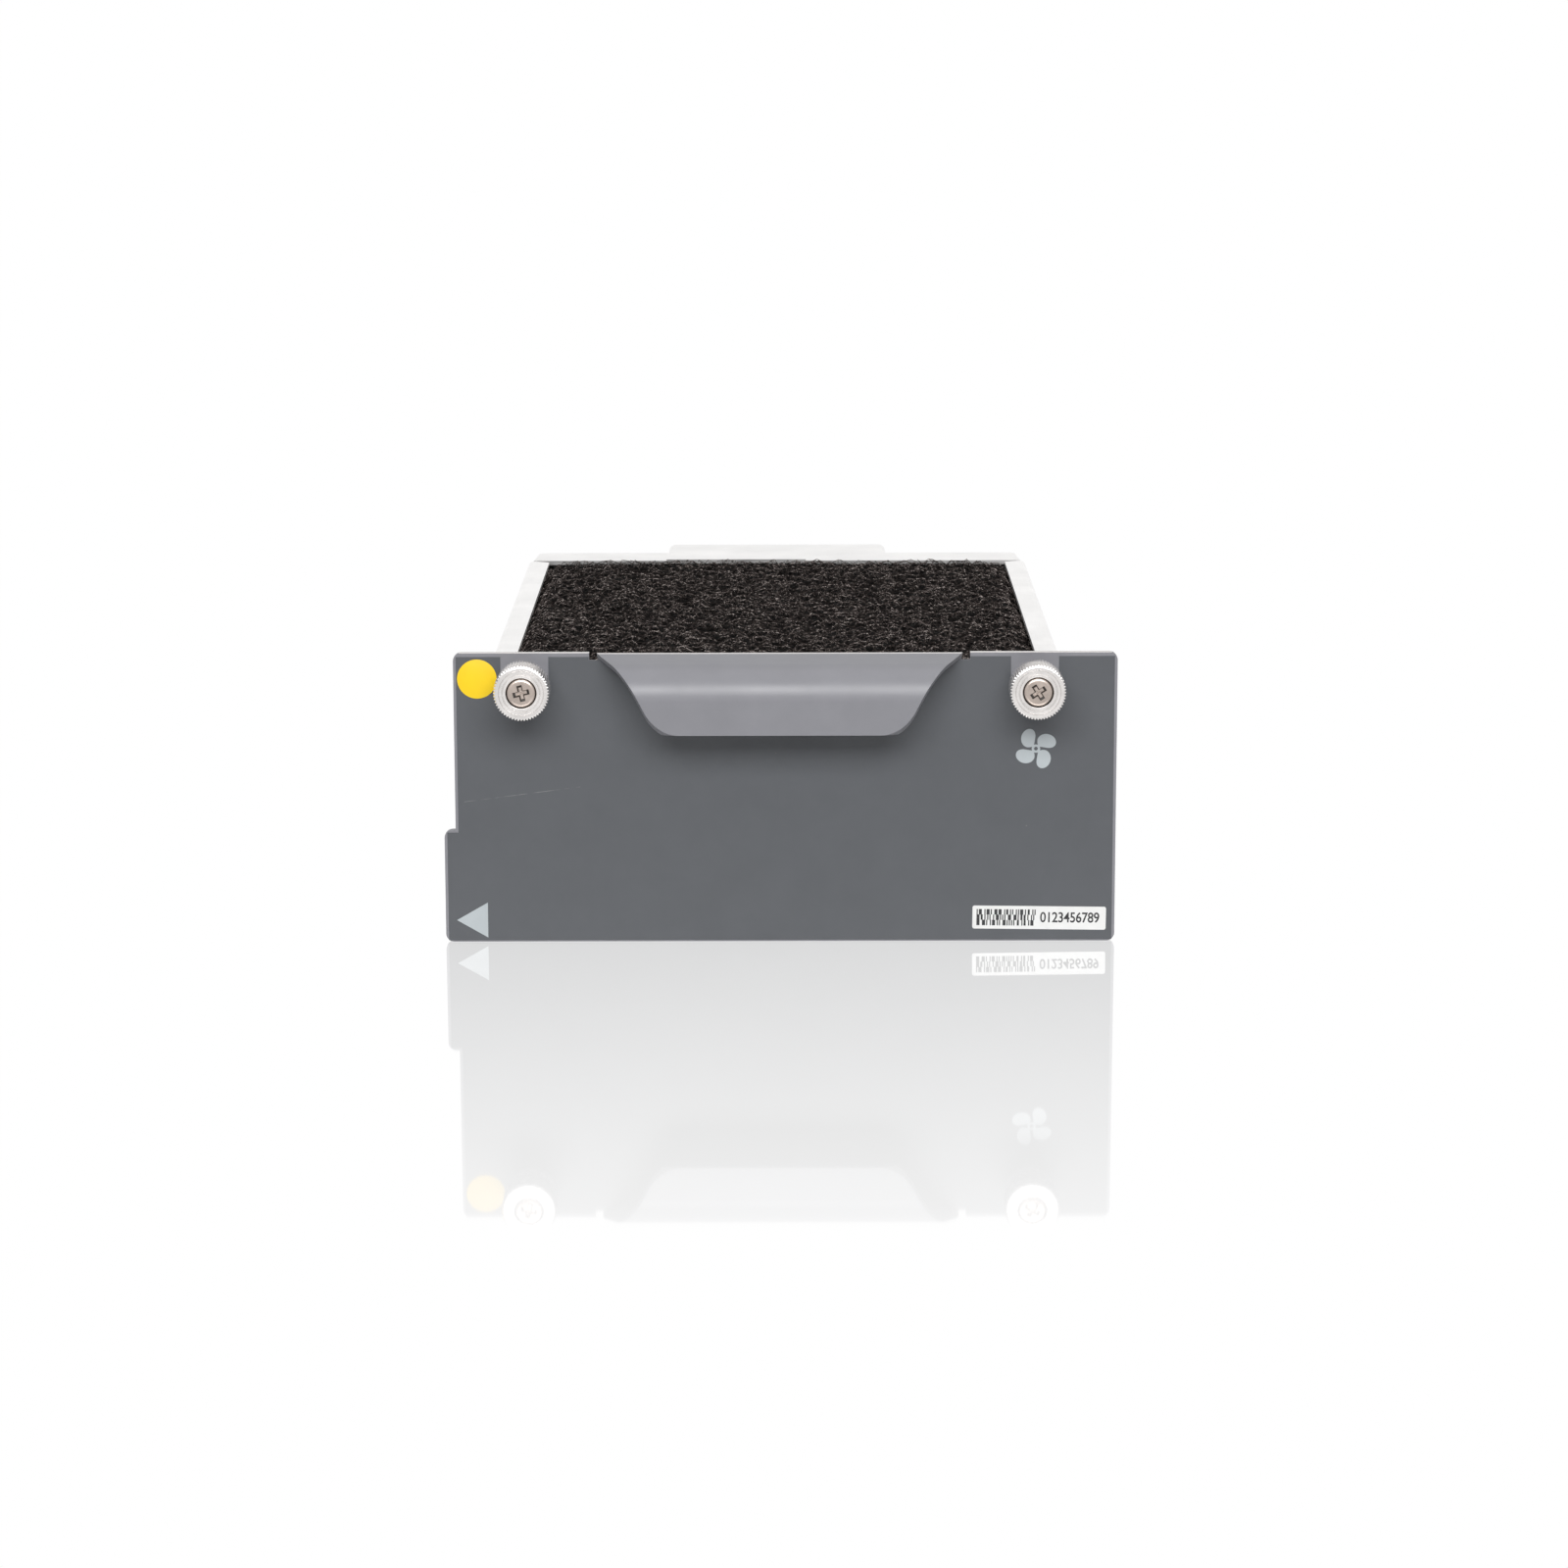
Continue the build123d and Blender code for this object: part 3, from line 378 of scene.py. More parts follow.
def coat(material, *names):
    """Give CAD nodes a finish."""
    for name in names:
        for slot in nodes[name].material_slots:
            slot.material = material


def turned(name, rings, centre, segments):
    """A turned piece along Y: a circle that is extruded and scaled from ring to ring.

    Each ring is a depth along Y and a radius. A radius of nought closes the end.
    """
    fresh()
    depth, radius = rings[0]
    bpy.ops.mesh.primitive_circle_add(
        vertices=segments,
        radius=radius,
        fill_type="NOTHING",
        location=(centre[0], depth, centre[1]),
        rotation=(pi / 2, 0, 0),
    )
    piece = settled(name)
    bpy.ops.object.mode_set(mode="EDIT")
    bpy.ops.mesh.select_all(action="SELECT")
    for next_depth, next_radius in rings[1:]:
        move = (0, next_depth - depth, 0)
        bpy.ops.mesh.extrude_region_move(TRANSFORM_OT_translate={"value": move})
        if next_radius == 0:
            bpy.ops.mesh.merge(type="CENTER")
            break
        share = next_radius / radius
        middle = (centre[0], next_depth, centre[1])
        bpy.ops.transform.resize(value=(share, 1, share), center_override=middle)
        depth, radius = next_depth, next_radius
    bpy.ops.mesh.select_all(action="SELECT")
    bpy.ops.mesh.remove_doubles(threshold=1e-7)
    bpy.ops.mesh.normals_make_consistent(inside=False)
    bpy.ops.object.mode_set(mode="OBJECT")
    return piece


# Finishes


def satin_coat(name, tone, rough, scuff=(), edge=None):
    """Satin coat with orange peel, soft wear and a few pale specks of dust.

    A scuff is where a faint scratch starts across and up, how far it runs and its rise.
    An edge is the height above which a pale painted highlight lies on the coat.
    """
    f = Finish(name)
    place = f.place()
    mottle = f.spread(f.clouds(place, 9 * MM, 4.0, 0.6))
    colour = f.blend(mottle, shaded(tone, 0.96), shaded(tone, 1.04))
    speck = f.cells(place, 6.5 * MM) < 0.016
    dusty = f.clouds(place, 17 * MM, 1.0) > 0.58
    colour = f.blend(speck * dusty * 0.3, colour, DUST)
    if scuff:
        left, low, run, rise = scuff
        x, _, z = f.axes(place)
        off = (z - low - (x - left) * rise).size()
        line = (off < 0.07 * MM) * (x > left) * (x < left + run)
        broken = f.span(f.clouds(place, 3 * MM, 2.0), 0.4, 0.6)
        colour = f.blend(line * broken * 0.22, colour, DUST)
    if edge is not None:
        _, _, z = f.axes(place)
        # Above the edge, a pale painted highlight.
        colour = f.blend((z > edge) * 0.85, colour, EDGE_HIGHLIGHT)
    peel = f.clouds(place, 0.5 * MM, 2.0, 0.55)
    wear = f.clouds(place, 22 * MM, 5.0, 0.65)
    return f.surface(
        Base_Color=colour,
        Roughness=f.span(wear, 0.35, 0.7, rough * 0.9, rough * 1.1),
        Normal=f.bump(peel, 0.02 * MM, 0.6),
    )


def zinc_sheet(name, tone, streak_turn=0.0):
    """Zinc-plated sheet: fine rolling streaks and a faint bloom."""
    f = Finish(name)
    place = f.place()
    lines = f.stretched(place, (0.12 * MM, 14 * MM, 0.12 * MM), turn=(0, 0, streak_turn))
    streak = f.node("ShaderNodeTexNoise", {}, {"Vector": lines, "Scale": 1.0, "Detail": 3.0})
    bloom = f.clouds(place, 12 * MM, 4.0, 0.6)
    shade = f.spread(streak * 0.35 + bloom * 0.65)
    colour = f.blend(shade, shaded(tone, 0.9), [min(c * 1.06, 0.95) for c in tone])
    return f.surface(
        Base_Color=colour,
        Metallic=1.0,
        Roughness=f.spread(streak * 0.5 + bloom * 0.5, 0.26, 0.42),
        Normal=f.bump(streak, 0.004 * MM, 0.5),
    )


def bright_metal(name, tone, rough, ring_pitch=0.0, centre=(0, 0), shade_bands=()):
    """Plated or turned metal, with tool rings about a Y axis where a pitch is given.

    Dark painted shade, with less metal, lies between two radii and two depths about that axis,
    once for each entry.
    """
    f = Finish(name)
    place = f.place()
    grain = f.clouds(place, 0.35 * MM, 3.0, 0.6)
    height = grain
    if ring_pitch:
        x, y, z = f.axes(place)
        out = ((x.size() - abs(centre[0])) ** 2.0 + (z - centre[1]) ** 2.0) ** 0.5
        height = grain * 0.35 + f.stripes(out, ring_pitch) * 0.2
    smear = f.clouds(place, 3 * MM, 3.0, 0.6)
    colour = f.blend(f.spread(smear), shaded(tone, 0.9), tone)
    metallic = 1.0
    # Each entry paints shade into a recess: a near-black colour with less metal.
    for inner, outer, near, far in shade_bands:
        painted_shade = (out > inner) * (out < outer) * (y > near) * (y < far)
        colour = f.blend(painted_shade * 0.9, colour, RECESS_SHADE)
        metallic = metallic - painted_shade * 0.9
    return f.surface(
        Base_Color=colour,
        Metallic=metallic,
        Roughness=f.spread(smear, rough * 0.8, rough * 1.3),
        Normal=f.bump(height, 0.003 * MM, 0.5),
    )


def plastic(name, tone, rough, grain=0.25 * MM, coat_weight=0.0):
    """Moulded plastic with a fine spark-eroded grain."""
    f = Finish(name)
    place = f.place()
    texture = f.clouds(place, grain, 2.0, 0.5)
    flow = f.clouds(place, 14 * MM, 3.0, 0.5)
    return f.surface(
        Base_Color=f.blend(f.spread(flow), shaded(tone, 0.85), shaded(tone, 1.15)),
        Roughness=f.spread(flow, rough * 0.9, rough * 1.12),
        Coat_Weight=coat_weight,
        Normal=f.bump(texture, 0.006 * MM, 0.6),
    )


def circuit_board(name, tone):
    """Solder mask over copper tracks, with a few plated holes."""
    f = Finish(name)
    place = f.place()
    x, y, z = f.axes(place)
    flat = f.node("ShaderNodeCombineXYZ", {}, {"X": x, "Y": z + y, "Z": 0.0})
    stagger = {"offset": 0.37, "squash": 0.7, "squash_frequency": 3}
    rows = {
        "Vector": flat, "Scale": 1 / (14 * MM), "Mortar Size": 0.014, "Mortar Smooth": 0.1,
        "Brick Width": 0.9, "Row Height": 0.11, "Bias": 0.0,
    }
    tracks = f.node("ShaderNodeTexBrick", stagger, rows, out="Fac")
    holes = f.cells(flat, 4.5 * MM) < 0.075
    colour = f.blend(tracks * 0.6, tone, [min(c * 2.4 + 0.01, 1) for c in tone])
    colour = f.blend(holes, colour, (0.62, 0.55, 0.36))
    weave = f.clouds(place, 0.6 * MM, 1.0)
    return f.surface(
        Base_Color=colour,
        Metallic=holes * 1.0,
        Roughness=0.3,
        Normal=f.bump(tracks * 0.8 + weave * 0.2, 0.02 * MM, 0.5),
    )


def laminations(tone):
    """Stacked stator sheets."""
    f = Finish("stator_sheets")
    place = f.place()
    _, _, z = f.axes(place)
    stack = f.stripes(z, 0.5 * MM)
    return f.surface(
        Base_Color=f.blend(f.span(stack, -1.0, 1.0), shaded(tone, 0.6), tone),
        Metallic=0.9,
        Roughness=0.45,
        Normal=f.bump(stack, 0.03 * MM, 0.6),
    )


def winding(tone):
    """Enamelled wire laid turn on turn."""
    f = Finish("enamelled_wire")
    place = f.place()
    x, y, _ = f.axes(place)
    turns = f.stripes(x + y, 0.42 * MM)
    drift = f.clouds(place, 1.5 * MM, 2.0)
    return f.surface(
        Base_Color=f.blend(f.span(turns + drift, -1.0, 1.6), shaded(tone, 0.45), tone),
        Metallic=0.85,
        Roughness=0.28,
        Normal=f.bump(turns, 0.08 * MM, 0.8),
    )


def sleeve(tone):
    """Woven sleeve over the fan leads."""
    f = Finish("woven_sleeve")
    place = f.place()
    _, y, z = f.axes(place)
    strand = 0.9 * MM
    weave = f.stripes(y + z, strand) * f.stripes(y - z, strand)
    return f.surface(
        Base_Color=f.blend(f.span(weave, -1.0, 1.0), shaded(tone, 0.6), shaded(tone, 1.8)),
        Roughness=0.7,
        Normal=f.bump(weave, 0.12 * MM, 0.7),
    )


def open_foam(colours):
    """Black open-cell foam, with painted shade in its pores, painted light on its struts and
    painted glints.
    """
    f = Finish("open_cell_foam")
    place = f.place()
    strut = f.node("ShaderNodeAttribute", {"attribute_name": "strut"}, out="Fac")
    mass = f.clouds(place, 0.6 * MM, 3.0, 0.7)
    lit = f.span(strut, 0.3, 0.95) * f.span(mass, 0.35, 0.7, 0.25, 1.0)
    # The strut attribute paints light and shade: near-black in the pores, paler on the high
    # struts.
    colour = f.blend(lit, colours.pore, colours.strut)
    # Painted glints on the struts.
    colour = f.blend((mass > 0.57) * f.span(strut, 0.5, 0.9), colour, colours.strut_glint)
    return f.surface(
        Base_Color=colour,
        Roughness=f.spread(mass, 0.5, 0.85),
        Normal=f.bump(mass, 0.1 * MM, 0.6),
        Specular_IOR_Level=0.03,
    )


def paper(name, tone, rough):
    """Printed or coated paper and ink with a faint fibre."""
    f = Finish(name)
    place = f.place()
    fibre = f.clouds(place, 0.3 * MM, 3.0, 0.6)
    patch = f.clouds(place, 4 * MM, 2.0)
    return f.surface(
        Base_Color=f.blend(f.spread(patch), shaded(tone, 0.97), shaded(tone, 1.02)),
        Roughness=f.spread(fibre, rough * 0.9, rough * 1.1),
        Normal=f.bump(fibre, 0.004 * MM, 0.4),
    )


# Sizes and colours that a user may change


def colour_prop(label, note, tone):
    """A colour in the panel."""
    return bpy.props.FloatVectorProperty(
        name=label, description=note, subtype="COLOR", size=3, min=0, max=1, default=tone
    )


def length_prop(label, note, value):
    """A length in the panel, in metres."""
    return bpy.props.FloatProperty(
        name=label, description=note, unit="LENGTH", subtype="DISTANCE", default=value
    )


class FanTrayColours(bpy.types.PropertyGroup):
    """Base colours of the tray's finishes"""

    coat: colour_prop("Coat", "Powder coat of the faceplate", (0.225, 0.225, 0.245))
    film: colour_prop("Film", "Dark film over the front", (0.078, 0.083, 0.092))
    zinc: colour_prop("Zinc", "Zinc-plated sheet", (0.86, 0.85, 0.84))
    knob: colour_prop("Knob", "Knurled knobs", (0.73, 0.705, 0.69))
    nickel: colour_prop("Nickel", "Screws, studs and retainers", (0.45, 0.385, 0.345))
    spring: colour_prop("Spring", "Spring wire", (0.62, 0.62, 0.63))
    # The foam's three colours paint its light and shade: painted shade in the pores, painted light
    # on the struts and painted glints.
    pore: colour_prop("Pore", "Depth of the foam's pores", (0.0015, 0.0012, 0.0011))
    strut: colour_prop("Strut", "Foam struts", (0.165, 0.135, 0.125))
    strut_glint: colour_prop("Fleck", "Foam struts that catch the light", (0.60, 0.53, 0.50))
    fan: colour_prop("Fan", "Fan frames and impellers", (0.022, 0.022, 0.024))
    dot: colour_prop("Dot", "Round sticker", (0.92, 0.62, 0.004))
    label: colour_prop("Label", "White label", (0.80, 0.80, 0.79))
    ink: colour_prop("Ink", "Printing on the label", (0.018, 0.018, 0.02))
    sign: colour_prop("Sign", "Pale printed signs", (0.455, 0.495, 0.515))


class FanTraySizes(bpy.types.PropertyGroup):
    """Sizes of the pieces that are made here"""

    slot_width: length_prop("Slot width", "Bare slot in the film at each screw", 11.5 * MM)
    film_margin: length_prop("Film margin", "Bare strip round the film", 0.7 * MM)
    film_t: length_prop("Film thickness", "Film over the front", 0.15 * MM)
    dot_width: length_prop("Dot width", "Round sticker", 9.5 * MM)
    dot_x: length_prop("Dot X", "Middle of the round sticker", -72.5 * MM)
    dot_z: length_prop("Dot Z", "Middle of the round sticker", 64.6 * MM)
    label_width: length_prop("Label width", "White label", 32.3 * MM)
    label_height: length_prop("Label height", "White label", 5.7 * MM)
    label_x: length_prop("Label X", "Middle of the label", 62.65 * MM)
    label_z: length_prop("Label Z", "Middle of the label", 5.75 * MM)
    sign_width: length_prop("Sign width", "Fan sign", 9.25 * MM)
    sign_x: length_prop("Sign X", "Middle of the fan sign", 61.5 * MM)
    sign_z: length_prop("Sign Z", "Middle of the fan sign", 47.4 * MM)
    pore_width: length_prop("Pore width", "Foam pores", 1.45 * MM)
    pore_depth: length_prop("Pore depth", "Foam pores", 0.9 * MM)
    strut_width: length_prop("Strut width", "Foam struts", 0.19 * MM)
    strut_rise: length_prop("Strut rise", "Height of the foam's open net", 1.4 * MM)
    strut_pitch: length_prop("Strut pitch", "Spacing of the foam's struts", 1.15 * MM)
    sticker_t: length_prop("Sticker thickness", "Sticker and label", 0.10 * MM)
    ink_t: length_prop("Ink thickness", "Printed signs", 0.03 * MM)


def settings():
    """The colours and sizes as they stand in the panel."""
    scene = bpy.context.scene
    return scene.fan_tray_colours, scene.fan_tray_sizes


# The stage


class FANTRAY_OT_stage(bpy.types.Operator):
    """Camera, soft light and a pale floor"""

    bl_idname = "fan_tray.stage"
    bl_label = "Stage"

    def execute(self, context):
        scene = context.scene
        scene.view_settings.view_transform = "Standard"
        self.camera(scene)
        self.floor()
        self.light("front_softbox", (0.0, -1.25, 0.76), (0.0, -0.1, 0.03), (1.2, 0.5), 18.0)
        self.light("top_softbox", (0.0, -0.05, 1.2), (0.0, -0.03, 0.0), (1.5, 1.1), 4.6)
        self.world(scene)
        return {"FINISHED"}

    @staticmethod
    def camera(scene):
        """The camera, in front of the tray and a little above it."""
        lens = bpy.data.cameras.new("camera")
        lens.lens = LENS
        lens.sensor_width = 36.0
        lens.clip_start = 0.01
        camera = bpy.data.objects.new("camera", lens)
        scene.collection.objects.link(camera)
        dip = Matrix.Rotation(radians(90 - CAMERA_DIP), 4, "X")
        roll = Matrix.Rotation(CAMERA_ROLL, 4, "Z")
        camera.matrix_world = Matrix.Translation(CAMERA_PLACE) @ dip @ roll
        scene.camera = camera

    @staticmethod
    def floor():
        """A glossy pale floor, tilted to meet the tray, which leans back a little on it.

        It is white all round the tray. Under the tray some of its matt colour stays, and
        its sheen fades towards the camera.
        """
        fresh()
        bpy.ops.mesh.primitive_grid_add(
            x_subdivisions=4, y_subdivisions=4, size=12,
            location=(0, PLATE_FRONT, 0), rotation=(radians(FLOOR_LEAN), 0, 0),
        )
        floor = settled("floor")
        f = Finish("pale_floor")
        x, y, _ = f.axes(f.place())
        under, gleam, fade = 0.7, 0.365, 330 * MM
        beside = f.span(x.size(), 62 * MM, 80 * MM, under, 1.0)
        before = f.span(y, PLATE_FRONT - 2 * MM, PLATE_FRONT + 6 * MM, 1.0, under)
        behind = f.span(y, 135 * MM, 165 * MM, under, 1.0)
        bright = beside.do("MAXIMUM", before).do("MAXIMUM", behind)
        glow = bright * f.seen()
        matt = f.node("ShaderNodeBsdfDiffuse", {}, {"Color": (0.35, 0.35, 0.35, 1)})
        white = f.node("ShaderNodeEmission", {}, {"Color": WHITE, "Strength": 1.0})
        gloss = f.node("ShaderNodeBsdfAnisotropic", {}, {"Color": WHITE, "Roughness": 0.03})
        sheen = f.span(y, PLATE_FRONT - fade, PLATE_FRONT, 0.0, gleam)
        pale = f.node("ShaderNodeMixShader", {}, {0: glow, 1: matt, 2: white})
        shiny = f.node("ShaderNodeMixShader", {}, {0: sheen, 1: pale, 2: gloss})
        f.node("ShaderNodeOutputMaterial", {}, {"Surface": shiny})
        floor.data.materials.append(f.owner)

    @staticmethod
    def light(name, place, aim, size, power):
        """A softbox that faces a point."""
        lamp = bpy.data.lights.new(name, "AREA")
        lamp.shape = "RECTANGLE"
        lamp.size, lamp.size_y = size
        lamp.energy = power
        holder = bpy.data.objects.new(name, lamp)
        bpy.context.scene.collection.objects.link(holder)
        facing = (Vector(aim) - Vector(place)).to_track_quat("-Z", "Y")
        holder.matrix_world = Matrix.Translation(place) @ facing.to_matrix().to_4x4()

    @staticmethod
    def world(scene):
        """A dim room that looks white to the camera and in what is shiny."""
        scene.world = bpy.data.worlds.new("white_room")
        f = Finish("white_room", scene.world)
        dim = f.node("ShaderNodeBackground", {}, {"Color": WHITE, "Strength": 0.06})
        white = f.node("ShaderNodeBackground", {}, {"Color": WHITE, "Strength": 1.0})
        mix = f.node("ShaderNodeMixShader", {}, {0: f.seen(), 1: dim, 2: white})
        f.node("ShaderNodeOutputWorld", {}, {"Surface": mix})


# The pieces


class FANTRAY_OT_faceplate(bpy.types.Operator):
    """Powder-coated faceplate and the dark film over its front"""

    bl_idname = "fan_tray.faceplate"
    bl_label = "Faceplate"

    def execute(self, context):
        colours, sizes = settings()
        # A pale painted highlight along the plate's top edge.
        edge = PLATE_HIGH.z - HIGHLIGHT_BAND
        coat(satin_coat("powder_coat", colours.coat, 0.4, edge=edge), "faceplate")
        scuff = (-76 * MM, 34.6 * MM, 28 * MM, 0.13)
        satin = satin_coat("front_film", colours.film, 0.46, scuff=scuff)
        dress(self.film(sizes), satin, "tray", "plate_coat")
        return {"FINISHED"}

    @staticmethod
    def film(sizes):
        """Thin film inside the plate's outline, cut out at the handle, the step and the screws."""
        margin, half = sizes.film_margin, sizes.slot_width / 2
        left, right = PLATE_LOW.x + margin, PLATE_HIGH.x - margin
        low, high = PLATE_LOW.z + margin / 2, PLATE_HIGH.z - 1.4 * margin
        film = block("front_film", (left, low), (right, high), sizes.film_t)
        finished(film, "BEVEL", width=1.2 * MM, segments=6, limit_method="ANGLE", affect="EDGES")
        step = block("cut", (left - margin, STEP_Z - margin), (left + STEP_X, high + margin))
        fold = PLATE_HIGH.z - NOTCH_DEPTH
        handle = block("cut", (-NOTCH_X, fold), (NOTCH_X, high + margin))
        cuts = [step, handle]
        for sign in SIDES.values():
            x = sign * SCREW_X
            cuts.append(block("cut", (x - half, SCREW_Z), (x + half, high + margin)))
            fresh()
            bpy.ops.mesh.primitive_cylinder_add(
                vertices=64, radius=half, depth=4 * MM,
                location=(x, PLATE_FRONT, SCREW_Z), rotation=(pi / 2, 0, 0),
            )
            cuts.append(settled("cut"))
        for cut in cuts:
            cut_by(film, cut)
        return film


class FANTRAY_OT_marks(bpy.types.Operator):
    """Round sticker, label and pale printed signs on the faceplate"""

    bl_idname = "fan_tray.marks"
    bl_label = "Marks"

    def execute(self, context):
        colours, sizes = settings()
        self.dot(colours, sizes)
        self.label(colours, sizes)
        sign = paper("pale_print", colours.sign, 0.4)
        self.fan_sign(sign, sizes)
        self.corner_sign(sign, sizes)
        return {"FINISHED"}

    @staticmethod
    def dot(colours, sizes):
        """A round yellow sticker."""
        fresh()
        bpy.ops.mesh.primitive_cylinder_add(
            vertices=96, radius=sizes.dot_width / 2, depth=sizes.sticker_t,
            location=(sizes.dot_x, PLATE_FRONT - sizes.film_t - sizes.sticker_t / 2, sizes.dot_z),
            rotation=(pi / 2, 0, 0),
        )
        dot = settled("round_sticker")
        finished(dot, "BEVEL", width=0.03 * MM, segments=2, angle_limit=radians(40))
        smooth(dot)
        dress(dot, paper("yellow_paper", colours.dot, 0.5), "tray", "plate_coat")

    def label(self, colours, sizes):
        """A white label, a little askew, with bars and plain digits printed on it."""
        askew = radians(0.7)
        front = PLATE_FRONT - sizes.film_t - sizes.sticker_t
        middle = (sizes.label_x, front + sizes.sticker_t / 2, sizes.label_z)
        fresh()
        bpy.ops.mesh.primitive_cube_add(size=1, location=middle, rotation=(0, askew, 0))
        label = settled("white_label", (sizes.label_width, sizes.sticker_t, sizes.label_height))
        alone(label)
        bpy.ops.object.mode_set(mode="EDIT")
        bpy.ops.mesh.select_mode(type="EDGE")
        pick(label, "edges", lambda e: abs((e.verts[0].co - e.verts[1].co).y) > 0.05 * MM)
        bpy.ops.mesh.bevel(offset=0.5 * MM, segments=4)
        bpy.ops.object.mode_set(mode="OBJECT")
        dress(label, paper("white_paper", colours.label, 0.38), "tray", "plate_coat")
        ink = paper("black_print", colours.ink, 0.5)
        for piece in (self.bars(sizes), self.digits()):
            stood(piece, sizes.label_x, front, sizes.label_z, askew)
            finished(piece, "SOLIDIFY", thickness=sizes.ink_t, offset=1.0)
            dress(piece, ink, "tray", "plate_coat")

    @staticmethod
    def bars(sizes):
        """Rows of bars of mixed widths, from the label's left end."""
        draw = random.Random(11)
        rows, reach = 3, 14.2 * MM
        left = -sizes.label_width / 2 + 1.0 * MM
        height = (sizes.label_height - 1.7 * MM) / rows
        bars = []
        for row in range(rows):
            up = (row - (rows - 1) / 2) * height
            x = left
            while x < left + reach:
                wide = draw.choice((0.28, 0.28, 0.5, 0.75)) * MM
                gap = draw.choice((0.25, 0.25, 0.4, 0.6)) * MM
                fresh()
                bpy.ops.mesh.primitive_plane_add(size=1, location=(x + wide / 2, up, 0))
                bars.append(settled("bar", (wide, height, 1)))
                x += wide + gap
        stripes = joined(bars)
        stripes.name = stripes.data.name = "label_bars"
        return stripes

    @staticmethod
    def digits():
        """Plain digits over the label's right half."""
        width, start = 14.3 * MM, 0.2 * MM
        fresh()
        bpy.ops.object.text_add()
        text = bpy.context.active_object
        text.data.body = "0123456789"
        text.data.size = 3.5 * MM
        text.data.align_y = "CENTER"
        text.data.offset = 0.05 * MM
        text.data.space_character = 0.98
        alone(text)
        bpy.ops.object.convert(target="MESH")
        digits = bpy.context.active_object
        digits.name = digits.data.name = "label_digits"
        digits.data.transform(Matrix.Diagonal((width / digits.dimensions.x, 1, 1, 1)))
        digits.data.transform(Matrix.Translation((start, 0, 0)))
        return digits

    def fan_sign(self, sign, sizes):
        """Four rounded blades that swirl about a small hub with a hole."""
        reach = sizes.sign_width / 2
        fresh()
        bpy.ops.mesh.primitive_circle_add(vertices=48, radius=reach * 0.22, fill_type="NGON")
        piece = settled("fan_sign")
        finished(piece, "SOLIDIFY", thickness=sizes.ink_t, offset=1.0)
        for quarter in range(4):
            blade = self.blade(reach)
            blade.data.transform(Matrix.Rotation(quarter * pi / 2, 4, "Z"))
            finished(blade, "SOLIDIFY", thickness=sizes.ink_t, offset=1.0)
            finished(piece, "BOOLEAN", object=blade, operation="UNION", solver="EXACT")
            bpy.data.objects.remove(blade)
        fresh()
        bpy.ops.mesh.primitive_cylinder_add(vertices=32, radius=reach * 0.1, depth=1 * MM)
        cut_by(piece, settled("hub_hole"))
        stood(piece, sizes.sign_x, PLATE_FRONT - sizes.film_t, sizes.sign_z)
        outward(piece)
        dress(piece, sign, "tray", "plate_coat")

    @staticmethod
    def blade(reach):
        """One blade of the sign: a disc whose inner quarter is drawn down into the hub.

        Near the hub it turns one way and at its tip the other, which gives it its swirl.
        """
        disc_r = 0.42 * reach
        middle = Vector((0.564, 0.404, 0)) * reach
        root = Vector((0.12, 0.07, 0)) * reach
        swirl, still = 0.5, 0.78
        fresh()
        bpy.ops.mesh.primitive_circle_add(
            vertices=96, radius=disc_r, fill_type="NGON", location=middle,
        )
        blade = settled("blade")
        for v in blade.data.vertices:
            way = (v.co - middle) / disc_r
            if way.x < 0 and way.y < 0:
                square = (abs(way.x) ** 3 + abs(way.y) ** 3) ** (1 / 3)
                pull = 1 - abs(2 * way.x * way.x - 1)
                v.co = (middle + way * (disc_r / square)).lerp(root, pull ** 1.3)
            turn = swirl * (still - v.co.length / reach)
            v.co = Matrix.Rotation(turn, 3, "Z") @ v.co
        return blade

    @staticmethod
    def corner_sign(sign, sizes):
        """A plain pale triangle in the lower left corner."""
        x, z, radius = -73.2 * MM, 5.4 * MM, 5.0 * MM
        fresh()
        bpy.ops.mesh.primitive_circle_add(
            vertices=3, radius=radius, fill_type="NGON", rotation=(0, 0, pi / 2),
        )
        piece = settled("corner_triangle")
        stood(piece, x, PLATE_FRONT - sizes.film_t, z)
        finished(piece, "SOLIDIFY", thickness=sizes.ink_t, offset=1.0)
        dress(piece, sign, "tray", "plate_coat")


